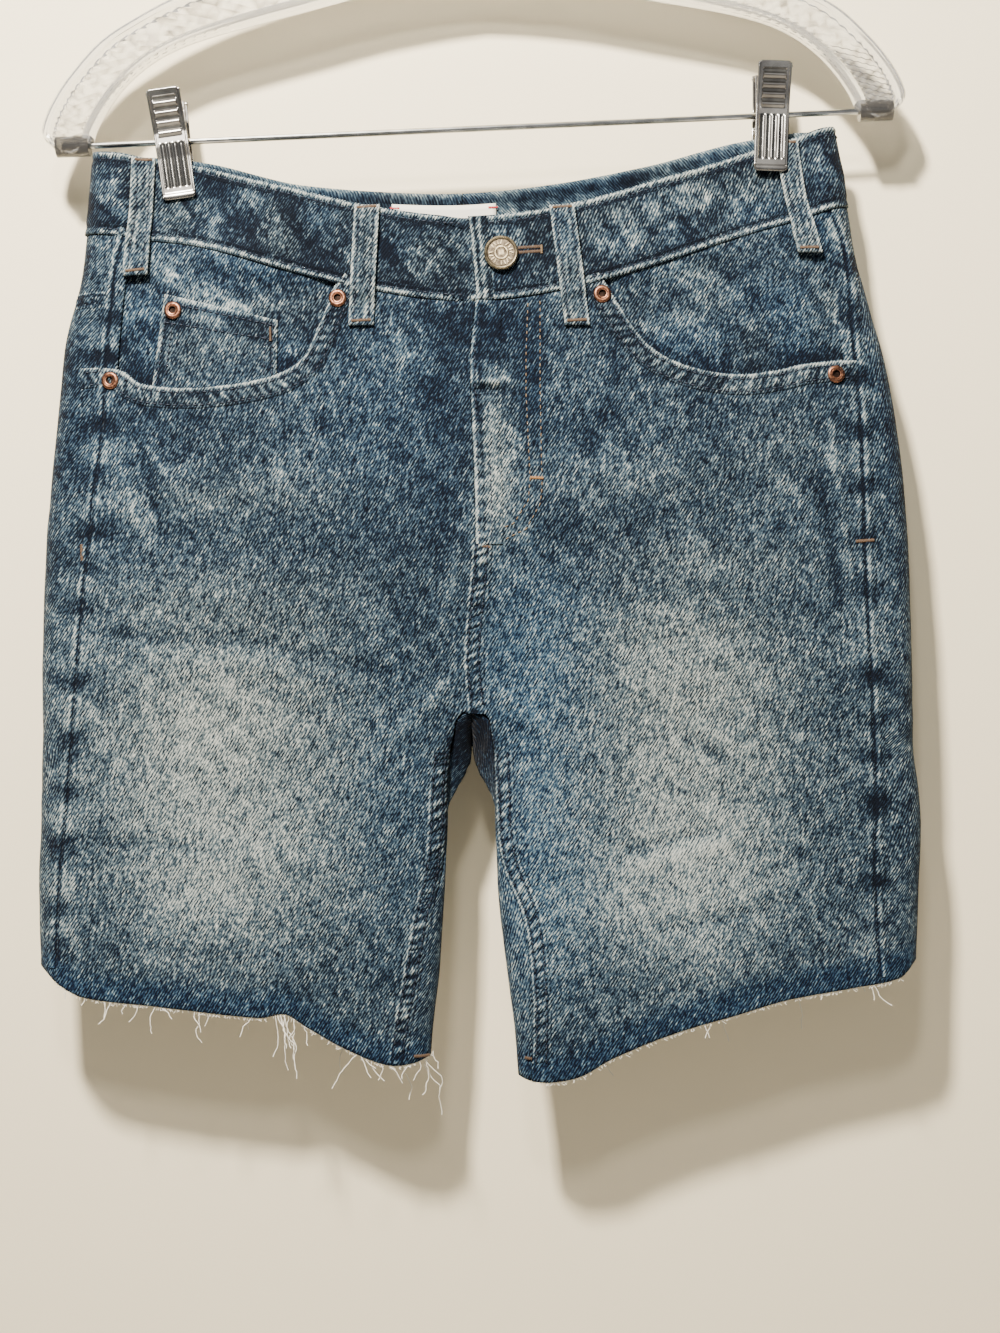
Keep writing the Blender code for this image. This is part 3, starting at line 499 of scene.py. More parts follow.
def along(line, x, z):
    """Distance from a line, positive on its left, and distance along it, for each place."""
    way = heading(line)
    length = np.concatenate([[0], np.cumsum(np.linalg.norm(np.diff(line, axis=0), axis=1))])
    x, z = np.broadcast_arrays(np.asarray(x, float), np.asarray(z, float))
    px, pz = x.ravel(), z.ravel()
    nearest = np.empty(len(px), int)
    for start in range(0, len(px), 4000):
        part = slice(start, start + 4000)
        far = (px[part, None] - line[:, 0]) ** 2 + (pz[part, None] - line[:, 1]) ** 2
        nearest[part] = far.argmin(axis=1)
    off_x, off_z = px - line[nearest, 0], pz - line[nearest, 1]
    across = way[nearest, 0] * off_z - way[nearest, 1] * off_x
    ahead = way[nearest, 0] * off_x + way[nearest, 1] * off_z
    return across.reshape(x.shape), (length[nearest] + ahead).reshape(x.shape)


def bell(value, width):
    """1 at 0, falling off smoothly to either side."""
    return np.exp(-((np.asarray(value, float) / width) ** 2))


def mottle(x, z, size, seed, stretch=1.0):
    """Smooth random values from -1 to 1, about size wide and stretched so many times in z."""
    lattice = np.random.default_rng(seed).uniform(-1, 1, (128, 128))
    u, v = np.asarray(x, float) / size + 500, np.asarray(z, float) / (size * stretch) + 500
    column, row = np.floor(u).astype(int), np.floor(v).astype(int)
    su, sv = u - column, v - row
    su, sv = su * su * (3 - 2 * su), sv * sv * (3 - 2 * sv)
    c0, c1, r0, r1 = column % 128, (column + 1) % 128, row % 128, (row + 1) % 128
    low = mix(lattice[r0, c0], lattice[r0, c1], su)
    high = mix(lattice[r1, c0], lattice[r1, c1], su)
    return mix(low, high, sv)


def creased(x, z, size, seed, lean=0.0, stretch=1.6):
    """Thin meandering lines, 1 on a line, as a crumpled and rubbed cloth has."""
    field = mottle(x + lean * z, z, size, seed, stretch) + 0.35 * mottle(x, z, size / 2.6, seed + 1)
    return bell(field, 0.11)


def column_line(place_at, top, bottom, step=1.5):
    """A line that runs down the garment: place_at gives x at each height."""
    z = np.linspace(top, bottom, int(abs(top - bottom) / 2) + 2)
    return dense(np.stack([place_at(z) * np.ones_like(z), z], axis=1), step)


def row_line(height_at, start, end, step=1.5):
    """A line that runs across the garment: height_at gives z at each place."""
    x = np.linspace(start, end, int(abs(end - start) / 2) + 2)
    return dense(np.stack([x, height_at(x) * np.ones_like(x)], axis=1), step)


SIDE_LINE = {side: column_line(lambda z, s=side: side_seam(s, z), -238, -618) for side in (LEFT, RIGHT)}
INSEAM_LINE = {side: column_line(lambda z, s=side: inseam(s, z), -484, -655) for side in (LEFT, RIGHT)}
CENTRE_LINE = column_line(centre, -279, -477)
POCKET_LINE = {}
for side in (LEFT, RIGHT):
    smooth_x = np.linspace(POCKET_EDGES[0][0], POCKET_EDGES[-1][0], 200)
    smooth_z = read(POCKET_EDGES, smooth_x, column_of(side))
    POCKET_LINE[side] = dense(np.stack([side * smooth_x, smooth_z], axis=1), 1.0)
print("pocket edge:", len(POCKET_LINE[LEFT]), "mm")

# %% [markdown]
# ## Folds
#
# Denim that hangs from its waistband keeps a few long soft folds and creases: a fan under each
# pocket's corner, shallow waves across the hips, a sag between the clips, and gathers along the
# side seams. Each is one stroke with a width and a height, and a stroke may be a ridge or a trough.
# The hidden side gets similar ones, because the real cloth folds there too.

# %% Strokes of relief
# start x, start z, end x, end z, half-width, height
FRONT_FOLDS = (
    (-172, -330, -142, -372, 3.0, 0.9),
    (-168, -322, -128, -356, 2.5, -0.7),
    (-178, -345, -158, -402, 3.5, 0.8),
    (-163, -335, -150, -398, 2.6, -0.7),
    (-185, -372, -150, -384, 4.0, 0.6),
    (-190, -364, -70, -372, 8.0, 0.9),
    (-196, -388, -60, -402, 8.0, -1.0),
    (-196, -412, -40, -436, 9.0, 0.9),
    (-190, -437, -110, -445, 4.0, -0.7),
    (-125, -439, -40, -460, 4.5, -0.9),
    (-130, -446, -60, -470, 6.0, 0.8),
    (-194, -540, -128, -545, 3.5, -0.5),
    (-160, -548, -60, -556, 8.0, 0.6),
    (-70, -470, -30, -560, 10.0, 0.8),
    (-120, -590, -60, -600, 10.0, -0.7),
    (-96, -600, -88, -632, 6.0, 1.4),
    (-80, -606, -66, -640, 7.0, -1.2),
    (-165, -596, -150, -622, 9.0, 0.8),
    (-55, -500, -45, -640, 8.0, 0.8),
    (40, -372, 150, -352, 9.0, 0.8),
    (30, -402, 170, -384, 8.0, -0.9),
    (40, -428, 150, -415, 9.0, 0.7),
    (60, -452, 185, -440, 7.0, -0.8),
    (20, -468, 120, -470, 9.0, 0.7),
    (100, -492, 125, -508, 3.0, -0.8),
    (108, -487, 138, -503, 3.5, 0.6),
    (70, -550, 120, -540, 3.5, -0.8),
    (74, -558, 130, -545, 5.0, 0.6),
    (90, -590, 150, -578, 4.0, -0.7),
    (30, -520, 36, -640, 7.0, 0.9),
    (48, -560, 56, -650, 7.0, -0.7),
    (165, -560, 188, -618, 10.0, 0.7),
    (176, -330, 186, -420, 3.0, 0.7),
    (170, -350, 182, -440, 3.0, -0.6),
    (3, -322, 24, -324, 2.0, -0.8),
    (3, -318, 24, -319, 2.2, 0.7),
    (-6, -395, -16, -440, 4.0, 0.7),
    (-30, -300, -8, -390, 7.0, 0.6),
    (42, -305, 60, -390, 8.0, 0.6),
    (-205, -520, -200, -600, 4.0, 0.6),
    (8, -466, 40, -492, 5.0, 0.9),
    (-10, -464, -45, -495, 5.0, 0.9),
)
BACK_FOLDS = (
    (-30, -470, -120, -430, 7.0, 1.1),
    (30, -470, 130, -440, 8.0, 1.1),
    (-25, -490, -130, -500, 7.0, 1.2),
    (25, -492, 120, -512, 7.0, 1.2),
    (-40, -520, -150, -560, 8.0, -0.9),
    (40, -525, 150, -570, 8.0, -0.9),
    (-180, -400, -120, -380, 6.0, 0.8),
    (180, -395, 110, -375, 6.0, 0.8),
    (-190, -470, -100, -480, 8.0, 0.8),
    (190, -465, 100, -478, 8.0, 0.8),
    (-60, -580, -50, -640, 8.0, 1.0),
    (70, -590, 60, -650, 8.0, 1.0),
    (-150, -590, -160, -620, 9.0, 0.9),
    (150, -590, 165, -622, 9.0, 0.9),
)
# Heights where the side seams draw the cloth in, with how strongly, as seen from the front
GATHERS = {
    LEFT: ((-283, 0.8), (-302, 0.9), (-335, 1.0), (-360, 0.6), (-388, 1.0), (-404, 0.5), (-426, 0.9),
           (-462, 1.0), (-489, 0.8), (-497, 0.6), (-516, 0.9), (-541, 1.0), (-549, 0.6), (-574, 0.9),
           (-596, 0.8)),
    RIGHT: ((-262, 0.9), (-290, 0.8), (-318, 1.0), (-345, 0.7), (-372, 0.9), (-398, 0.8), (-424, 0.7),
            (-466, 1.0), (-489, 0.6), (-506, 0.9), (-526, 0.6), (-531, 0.8), (-556, 0.5), (-568, 1.0),
            (-590, 0.5)),
}  # fmt: skip


def stroke(x, z, x1, z1, x2, z2, half_width):
    """1 on a stroke, fading to its sides and softly at its ends."""
    way_x, way_z = x2 - x1, z2 - z1
    length = math.hypot(way_x, way_z)
    ahead = ((x - x1) * way_x + (z - z1) * way_z) / length
    across = ((x - x1) * -way_z + (z - z1) * way_x) / length
    past = np.maximum(np.abs(ahead - length / 2) - length * 0.3, 0) / (length * 0.2 + half_width)
    return bell(across, half_width) * bell(past, 0.7)


def gathered(side, x, z, reach=9.0):
    """Where a side seam's gathers lie, 1 in a dip."""
    off = np.abs(x - side_seam(side, z))
    dips = sum(share * bell(z - height, 5.0) for height, share in GATHERS[side])
    return dips * bell(np.maximum(off - 2, 0), reach)


def front_share(y):
    """1 on the front face, 0 on the back, passing over at the side folds."""
    return np.clip(0.5 - np.asarray(y, float) / 5.0, 0.0, 1.0)


def relief(x, z, y):
    """How far the cloth stands off the form, in front and behind."""
    front = sum(height * stroke(x, z, *ends, wide) for *ends, wide, height in FRONT_FOLDS)
    front = front + 0.35 * mottle(x, z, 24, 3, 0.7) + 0.14 * mottle(x, z, 8, 4)
    for side in (LEFT, RIGHT):
        front = front - 0.5 * gathered(side, x, z)
    back = sum(height * stroke(x, z, *ends, wide) for *ends, wide, height in BACK_FOLDS)
    back = back + 0.45 * mottle(x, z, 28, 5, 0.7) + 0.14 * mottle(x, z, 8, 6)
    share = front_share(y)
    calm = 1 - 0.75 * grip(x, z)
    return mix(back, front, share) * calm


print("folds:", len(FRONT_FOLDS) + len(BACK_FOLDS))

# %% [markdown]
# ## The wash
#
# Stone washing pales the cloth where it stands out and rubs: the thighs, the seams' ridges, the
# pocket edges. It stays dark in the band just above the cut hem, which was folded inside before
# the legs were cut off. The hollows of folds and gathers, and the grooves beside seams, are darker
# as less rubbed indigo and as painted shade. We give every point of the cloth a wash from 0, deep
# indigo, to 1, nearly white, and a tint from 0, grey, to 1, blue.

# %% Wash and tint
# x, z, half-width, half-height, change of wash, change of tint
FRONT_FADES = (
    (-131, -520, 64, 78, 0.37, -0.35),
    (-118, -470, 66, 40, 0.13, -0.2),
    (-120, -572, 58, 34, 0.11, 0.0),
    (105, -520, 58, 88, 0.37, -0.35),
    (100, -572, 62, 40, 0.17, 0.1),
    (100, -455, 60, 26, 0.14, -0.2),
    (-113, -371, 55, 12, 0.11, -0.2),
    (-110, -420, 75, 18, 0.08, -0.2),
    (-60, -400, 40, 9, -0.06, 0.0),
    (-175, -352, 26, 40, -0.02, 0.1),
    (-36, -520, 24, 90, -0.02, 0.2),
    (-45, -330, 34, 46, -0.02, 0.2),
    (85, -368, 60, 14, 0.13, -0.1),
    (110, -408, 60, 13, 0.10, -0.2),
    (55, -340, 30, 26, -0.04, 0.1),
    (28, -455, 30, 50, 0.04, 0.5),
    (30, -560, 26, 70, 0.14, 0.5),
    (150, -350, 30, 20, 0.06, -0.1),
    (12, -350, 9, 32, 0.30, -0.3),
    (13, -380, 9, 18, 0.20, -0.2),
    (22, -360, 5, 26, 0.10, 0.0),
    (14, -292, 16, 15, -0.30, 0.2),
    (31, -315, 6, 24, -0.22, 0.2),
    (-198, -320, 16, 46, -0.10, 0.1),
    (206, -330, 12, 60, -0.06, 0.1),
    (-14, -340, 12, 70, -0.12, 0.1),
)
BACK_FADES = (
    (-105, -400, 60, 60, 0.26, -0.2),
    (105, -400, 60, 60, 0.26, -0.2),
    (-110, -540, 62, 70, 0.20, -0.2),
    (110, -545, 62, 70, 0.20, -0.2),
    (-30, -480, 28, 60, -0.06, 0.3),
    (30, -485, 28, 60, -0.06, 0.3),
)
HEM_BAND = {LEFT: 9.0, RIGHT: 10.0}


def fades(x, z, table):
    wash, tint = 0.0, 0.0
    for cx, cz, wide, tall, wash_change, tint_change in table:
        spot = np.exp(-((((x - cx) / wide) ** 2 + ((z - cz) / tall) ** 2) ** 1.15))
        wash = wash + wash_change * spot
        tint = tint + tint_change * spot
    return wash, tint


def washed(x, z, y):
    """Wash and tint of the cloth's open surface."""
    share = front_share(y)
    front, back = fades(x, z, FRONT_FADES), fades(x, z, BACK_FADES)
    wash = 0.33 + mix(back[0], front[0], share)
    tint = 0.45 + mix(back[1], front[1], share)
    wash = wash + 0.06 * mottle(x, z, 30, 11, 0.6) + 0.05 * mottle(x + z * 0.5, z, 7, 12, 2.2)
    wash = wash + 0.16 * relief_shade(x, z, y)
    upper = ramp(-450.0, -380.0, z)
    wash = wash + (0.05 + 0.10 * upper) * (creased(x, z, 17, 16, 0.6, 1.8) - 0.25)
    wash = wash - 0.10 * upper * ramp(0.2, 0.7, mottle(x, z, 12, 18, 1.4))
    for side in (LEFT, RIGHT):
        # The gathers' dips along each side seam are darker, as less rubbed indigo and painted shade; the
        # cloth beside the seam rubs paler.
        dips = gathered(side, x, z, 7.0)
        wash = wash - 0.34 * dips
        wash = wash + 0.10 * bell(np.abs(x - side_seam(side, z)) - 6, 6) * (1 - np.minimum(dips, 1))
        above = z - hem_line(side, x)
        band = (1 - ramp(HEM_BAND[side] * 0.7, HEM_BAND[side] * 1.9, above)) * (np.sign(x) == side)
        band = band * (z < -560)
        wash = mix(wash, 0.22 + 0.05 * mottle(x, z, 3, 15, 5.0), 0.85 * band)
        tint = mix(tint, 1.0, band)
    return wash, tint


def relief_shade(x, z, y):
    """The fine part of the relief: paler on its ridges where it rubs, darker in its hollows as less rubbed
    indigo and painted shade.
    """
    front = sum(
        np.sign(height) * stroke(x, z, *ends, wide * 0.8)
        for *ends, wide, height in FRONT_FOLDS
        if wide < 6
    )
    return front * front_share(y)


print("fades:", len(FRONT_FADES) + len(BACK_FADES))

# %% [markdown]
# ## The denim itself
#
# Denim is a twill: dark warp threads over pale weft threads, so its colour is a fine diagonal of
# light and dark, broken up where the stones rubbed. A node group reads the cloth's own UV map and
# makes three things from it: the diagonal, the broken grain and a height for the bump. Each
# material then mixes its indigo from the wash with that grain.

# %% Denim's weave group and material
TWILL_PITCH = 1.3  # mm between the twill's diagonals
TWILL_ANGLE = 33.0

# The indigo by wash, grey and blue: wash, colour
GREY_INDIGO = (
    (0.00, (0.0013, 0.0026, 0.0055)),
    (0.20, (0.0055, 0.0100, 0.0165)),
    (0.40, (0.0230, 0.0360, 0.0470)),
    (0.60, (0.0700, 0.0950, 0.1050)),
    (0.80, (0.1700, 0.2000, 0.1980)),
    (1.00, (0.4000, 0.4200, 0.3800)),
)
BLUE_INDIGO = (
    (0.00, (0.0010, 0.0028, 0.0080)),
    (0.20, (0.0034, 0.0100, 0.0260)),
    (0.40, (0.0135, 0.0350, 0.0660)),
    (0.60, (0.0490, 0.0920, 0.1350)),
    (0.80, (0.1350, 0.1950, 0.2250)),
    (1.00, (0.3700, 0.4200, 0.4100)),
)


def new_group(name, inputs, outputs):
    """A shader node group with number inputs and its named outputs."""
    group = bpy.data.node_groups.new(name, "ShaderNodeTree")
    for title, value in inputs:
        socket = group.interface.new_socket(title, in_out="INPUT", socket_type="NodeSocketFloat")
        socket.default_value = value
    for title in outputs:
        group.interface.new_socket(title, in_out="OUTPUT", socket_type="NodeSocketFloat")
    return group, group.nodes.new("NodeGroupInput"), group.nodes.new("NodeGroupOutput")


def math_node(tree, operation, first, second, clamp=False):
    """A Math node on two sockets or numbers."""
    node = add_node(tree, "ShaderNodeMath", operation=operation, use_clamp=clamp)
    for index, value in enumerate((first, second)):
        if isinstance(value, (int, float)):
            node.inputs[index].default_value = value
        else:
            link(tree, value, node.inputs[index])
    return node.outputs[0]


def cloth_noise(tree, scale, turn, detail, uv="weave"):
    """Noise on the cloth's UV map, so many mm wide and long, its length leaning by degrees."""
    place = add_node(tree, "ShaderNodeUVMap", uv_map=uv)
    mapping = add_node(tree, "ShaderNodeMapping", vector_type="TEXTURE")
    mapping.inputs["Rotation"].default_value = (0, 0, math.radians(-turn))
    mapping.inputs["Scale"].default_value = (scale[0] * MM, scale[1] * MM, 1)
    noise = add_node(tree, "ShaderNodeTexNoise", {"Scale": 1.0, "Detail": detail})
    link(tree, place.outputs["UV"], mapping.inputs["Vector"])
    link(tree, mapping.outputs["Vector"], noise.inputs["Vector"])
    return noise.outputs["Fac"]


weave, _, weave_out = new_group("twill_weave", [("Rub", 0.5)], ["Grain", "Height"])
turn = math.radians(TWILL_ANGLE)
diagonal_place = add_node(weave, "ShaderNodeMapping")
diagonal_place.inputs["Rotation"].default_value = (0, 0, turn)
twill = add_node(
    weave,
    "ShaderNodeTexWave",
    {"Scale": math.pi / 10 / (TWILL_PITCH * MM), "Distortion": 0.9, "Detail": 2.0, "Detail Scale": 1.2},
)
link(weave, add_node(weave, "ShaderNodeUVMap", uv_map="weave").outputs["UV"], diagonal_place.inputs["Vector"])
link(weave, diagonal_place.outputs["Vector"], twill.inputs["Vector"])
flecks = cloth_noise(weave, (0.8, 2.2), TWILL_ANGLE, 2.0)
slubs = cloth_noise(weave, (1.6, 7.0), 12, 2.0)
patches = cloth_noise(weave, (6.0, 9.0), 30, 2.0)
fleck_part = math_node(weave, "MULTIPLY", math_node(weave, "SUBTRACT", flecks, 0.5), 1.35)
slub_part = math_node(weave, "MULTIPLY", math_node(weave, "SUBTRACT", slubs, 0.5), 0.75)
patch_part = math_node(weave, "MULTIPLY", math_node(weave, "SUBTRACT", patches, 0.5), 0.40)
twill_part = math_node(weave, "MULTIPLY", math_node(weave, "SUBTRACT", twill.outputs["Fac"], 0.5), 0.34)
grain = math_node(weave, "ADD", fleck_part, slub_part)
grain = math_node(weave, "ADD", grain, math_node(weave, "ADD", twill_part, patch_part))
link(weave, grain, weave_out.inputs["Grain"])
height = math_node(weave, "ADD", math_node(weave, "MULTIPLY", twill.outputs["Fac"], 0.6), flecks)
link(weave, height, weave_out.inputs["Height"])


def ramp_node(tree, fac, stops):
    node = add_node(tree, "ShaderNodeValToRGB")
    elements = node.color_ramp.elements
    while len(elements) < len(stops):
        elements.new(0.5)
    for element, (position, color) in zip(elements, stops):
        element.position = position
        element.color = (*color, 1)
    link(tree, fac, node.inputs["Fac"])
    return node.outputs["Color"]


def denim_material(name, contrast, lift, bump):
    """Indigo twill that reads the cloth's wash and tint. lift adds to the wash all over."""
    made, tree, shader = new_material(name)
    group = add_node(tree, "ShaderNodeGroup", node_tree=weave)
    wash = add_node(tree, "ShaderNodeAttribute", attribute_name="wash").outputs["Fac"]
    tint = add_node(tree, "ShaderNodeAttribute", attribute_name="tint").outputs["Fac"]
    grain = math_node(tree, "MULTIPLY", group.outputs["Grain"], contrast)
    value = math_node(tree, "ADD", math_node(tree, "ADD", wash, lift), grain, clamp=True)
    grey = ramp_node(tree, value, GREY_INDIGO)
    blue = ramp_node(tree, value, BLUE_INDIGO)
    color = add_node(tree, "ShaderNodeMix", data_type="RGBA")
    link(tree, tint, color.inputs["Factor"])
    link(tree, grey, color.inputs["A"])
    link(tree, blue, color.inputs["B"])
    link(tree, color.outputs["Result"], shader.inputs["Base Color"])
    relief_node = add_node(tree, "ShaderNodeBump", {"Strength": bump, "Distance": 0.0004})
    link(tree, group.outputs["Height"], relief_node.inputs["Height"])
    link(tree, relief_node.outputs["Normal"], shader.inputs["Normal"])
    shader.inputs["Roughness"].default_value = 0.88
    shader.inputs["Specular IOR Level"].default_value = 0.10
    shader.inputs["Sheen Weight"].default_value = 0.03
    shader.inputs["Sheen Roughness"].default_value = 0.5
    return made


denim = denim_material("indigo_twill", 1.35, 0.0, 1.0)
denim_inside = denim_material("indigo_inside", 0.80, 0.10, 0.9)
print("materials:", denim.name, denim_inside.name)

# %% [markdown]
# ## From rows of points to cloth
#
# A piece of cloth starts as a plain grid. Its points are moved to the rows that we worked out, then
# pushed along the surface's own normal by the relief, and a Solidify wall gives it the denim's
# thickness. The grid's even spacing also gives the UV map in metres along the cloth, so the twill
# has its true size and follows the cloth round the sides.

# %% Making a cloth piece


def grid_normals(points, flipped):
    """Unit outward normals of a grid of points."""
    down, across = np.gradient(points, axis=0), np.gradient(points, axis=1)
    normal = np.cross(across, down) * (1 if flipped else -1)
    length = np.linalg.norm(normal, axis=-1, keepdims=True)
    return normal / np.maximum(length, 1e-9)


def in_notch(middle, columns, count, notch):
    column = (middle.x + 0.5) * columns
    row = (0.5 - middle.y) * count
    return column > notch[0] and row < notch[1]


def weave_places(points, flipped):
    """UV in metres: along each row from its middle, to the right as seen from outside, and down."""
    steps = np.linalg.norm(np.diff(points, axis=1), axis=2)
    across = np.concatenate([np.zeros((len(points), 1)), np.cumsum(steps, axis=1)], axis=1)
    middle = points.shape[1] // 2
    across = (across - across[:, middle : middle + 1]) * (-1 if flipped else 1)
    return np.stack([across, points[:, :, 2]], axis=-1) * MM


def cloth(name, points, thickness, flipped, wash, tint, materials, notch=None, form=None):
    """A grid of points as a piece of cloth with its outer face on them.

    form is the undressed grid of a piece that turns a corner; its UV then follows the cloth round.
    """
    count, columns = points.shape[0] - 1, points.shape[1] - 1
    grid = bmesh.new()
    bmesh.ops.create_grid(grid, x_segments=columns, y_segments=count, size=0.5)
    if notch:
        gone = [f for f in grid.faces if in_notch(f.calc_center_median(), columns, count, notch)]
        bmesh.ops.delete(grid, geom=gone, context="FACES")
    if flipped:
        bmesh.ops.reverse_faces(grid, faces=grid.faces)
    mesh = bpy.data.meshes.new(name)
    grid.to_mesh(mesh)
    grid.free()
    flat = np.empty(len(mesh.vertices) * 3)
    mesh.vertices.foreach_get("co", flat)
    flat = flat.reshape(-1, 3)
    column = np.rint((flat[:, 0] + 0.5) * columns).astype(int)
    row = np.rint((0.5 - flat[:, 1]) * count).astype(int)
    mesh.vertices.foreach_set("co", (points[row, column] * MM).ravel())
    corner = np.empty(len(mesh.loops), int)
    mesh.loops.foreach_get("vertex_index", corner)
    places = points[..., [0, 2]] * MM if form is None else weave_places(form, flipped)
    uv = places[row[corner], column[corner]]
    mesh.uv_layers.new(name="weave").data.foreach_set("uv", uv.ravel())
    for title, values in (("wash", wash), ("tint", tint)):
        values = np.broadcast_to(values, points.shape[:2])
        layer = mesh.attributes.new(title, "FLOAT", "POINT")
        layer.data.foreach_set("value", values[row, column])
    mesh.shade_smooth()
    for material in materials:
        mesh.materials.append(material)
    made = bpy.data.objects.new(name, mesh)
    bpy.context.scene.collection.objects.link(made)
    if thickness:
        wall = made.modifiers.new("wall", "SOLIDIFY")
        wall.thickness = thickness * MM
        wall.offset = -1
        wall.material_offset = wall.material_offset_rim = len(materials) - 1
    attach(made, "root")
    mesh.update()
    return made


def dressed(points, flipped, out=0.0, share=1.0):
    """Points pushed along their normals by the relief and a distance out."""
    normals = grid_normals(points, flipped)
    lift = relief(points[..., 0], points[..., 2], points[..., 1]) * share + out
    return points + normals * lift[..., None]


def between(upper, lower, share):
    return lambda x: mix(upper(x), lower(x), share)


def stretch(upper, lower, count):
    return [between(upper, lower, i / count) for i in range(count)]


print("weave:", weave.name)

# %% [markdown]
# ## Front and back panels
#
# Rows follow the same lines as the solids: the front from its side seam to the centre or the
# inseam, the back from the side seam round the side fold to the centre. Below the fork a back row
# goes on round the inner fold of its leg until it meets the front panel.

# %% Panels
FRONT_COLUMNS, BACK_COLUMNS, FORK_COLUMNS = 104, 84, 14
INNER_TURNS = 1 - np.sin(np.linspace(0, math.pi / 2, 9))[1:]
STRIP_TURNS = 1 - np.sin(np.linspace(0, math.pi / 2, 15))
FOLD_TURNS = 1 - np.cos(np.linspace(0, math.pi / 2, 9))[1:]


def front_points(side, height_at):
    outer = settled(lambda z: side_seam(side, z), height_at, side * 190.0)
    forked = height_at(0.0) < FORK[FRONT] - 0.01
    inner_at = (lambda z: inseam(side, z)) if forked else centre
    inner = settled(inner_at, height_at, side * 10.0) + side * SEAM_GAP / 2
    outer = outer - side * SEAM_GAP / 2
    flat = np.linspace(outer, inner + side * EDGE_ROUNDING, FRONT_COLUMNS + 1)
    x = np.concatenate([flat, inner + side * EDGE_ROUNDING * INNER_TURNS])
    return on_form(side, x, height_at(x), FRONT)


def from_fold_in(side, distances, height_at, face):
    x = settled(lambda z: outer_fold(side, z) - side * distances, height_at, side * 190.0)
    return on_form(side, x, height_at(x), face, distances)


def side_points(side, height_at):
    seam = settled(lambda z: side_seam(side, z), height_at, side * 190.0)
    reach = (outer_fold(side, height_at(seam)) - seam) * side - SEAM_GAP / 2
    in_front = from_fold_in(side, reach * STRIP_TURNS, height_at, FRONT)
    behind = from_fold_in(side, EDGE_ROUNDING * FOLD_TURNS, height_at, BACK)
    return np.concatenate([in_front, behind])


def back_points(side, height_at):
    start = side_points(side, height_at)
    x = np.linspace(start[-1, 0], centre(FORK[FRONT]) + side * SEAM_GAP / 2, BACK_COLUMNS + 1)[1:]
    return np.concatenate([start, on_form(side, x, height_at(x), BACK)])


def evenly(points, places):
    """The same line of points read at these shares of its length."""
    length = np.concatenate([[0], np.cumsum(np.linalg.norm(np.diff(points, axis=0), axis=1))])
    return np.stack([np.interp(places * length[-1], length, points[:, k]) for k in range(3)], 1)


def leg_points(side, height_at, rise):
    """A row below the fork, which also turns round the inner fold to the inseam."""
    start = side_points(side, height_at)
    fold_back = settled(lambda z: inner_fold(side, z, BACK), height_at, side * 10.0)
    fold_back = fold_back + side * SEAM_GAP / 2
    x = mix(start[-1, 0], fold_back, np.sin(np.linspace(0, math.pi / 2, 161)))
    behind = on_form(side, x, height_at(x), BACK)

    def in_front(x):
        return height_at(x) + rise

    fold = settled(lambda z: inner_fold(side, z, FRONT), in_front, side * 10.0)
    seam = settled(lambda z: inseam(side, z), in_front, side * 10.0) + side * SEAM_GAP / 2
    end = fold + side * SEAM_GAP / 2
    if (seam - fold) * side > SEAM_GAP:
        end = mix(fold, seam - side * SEAM_GAP, 1 - np.cos(np.linspace(0, math.pi / 2, 17)))
    end = np.atleast_1d(end)
    line = np.concatenate([behind, on_form(side, end, in_front(end), FRONT)])
    inset = read(INSEAM_INSETS, in_front(0.0), column_of(side))
    butted = (PANEL + SEAM_GAP) * (1 - ramp(1.0, 6.0, inset))
    total = np.linalg.norm(np.diff(line, axis=0), axis=1).sum()
    cut, last = 1 - FORK_REACH / total, 1 - butted / total
    places = np.concatenate(
        [np.linspace(0, cut, BACK_COLUMNS + 1)[1:], np.linspace(cut, last, FORK_COLUMNS + 1)[1:]]
    )
    return np.concatenate([start, evenly(line, places)])


def front_grid(side):
    def fork(x):
        return fork_line(side, x, FRONT)

    def hem(x):
        return hem_line(side, x)

    lines = stretch(lambda x: front_top(side, x), fork, 116) + stretch(fork, hem, 92) + [hem]
    return np.stack([front_points(side, line) for line in lines])


def back_grid(side):
    def fork(x):
        return fork_line(side, x, BACK)

    def hem(x):
        return hem_line(side, x)

    def pocket(x):
        return pocket_line(side, x)

    body = stretch(lambda x: yoke_line(side, x) - SEAM_GAP, pocket, 18)
    body += stretch(pocket, fork, 76)
    rows = [back_points(side, line) for line in body]
    notch = (len(rows[0]) - 1, len(rows))
    rows = [np.concatenate([row, *([row[-1:]] * FORK_COLUMNS)]) for row in rows]
    for i in range(61):
        rise = (FORK[FRONT] - FORK[BACK]) * (1 - i / 60)
        rows.append(leg_points(side, between(fork, hem, i / 60), rise))
    return np.stack(rows), notch


def yoke_grid(side):
    def upper(x):
        turned_in = np.abs(x) > YOKE_TURN
        lowest = np.minimum(band_seam(x, BACK), band_seam(x, FRONT))
        return np.where(turned_in, lowest, band_seam(x, BACK)) - SEAM_GAP

    def lower(x):
        return yoke_line(side, x)

    return np.stack([back_points(side, line) for line in stretch(upper, lower, 26) + [lower]])


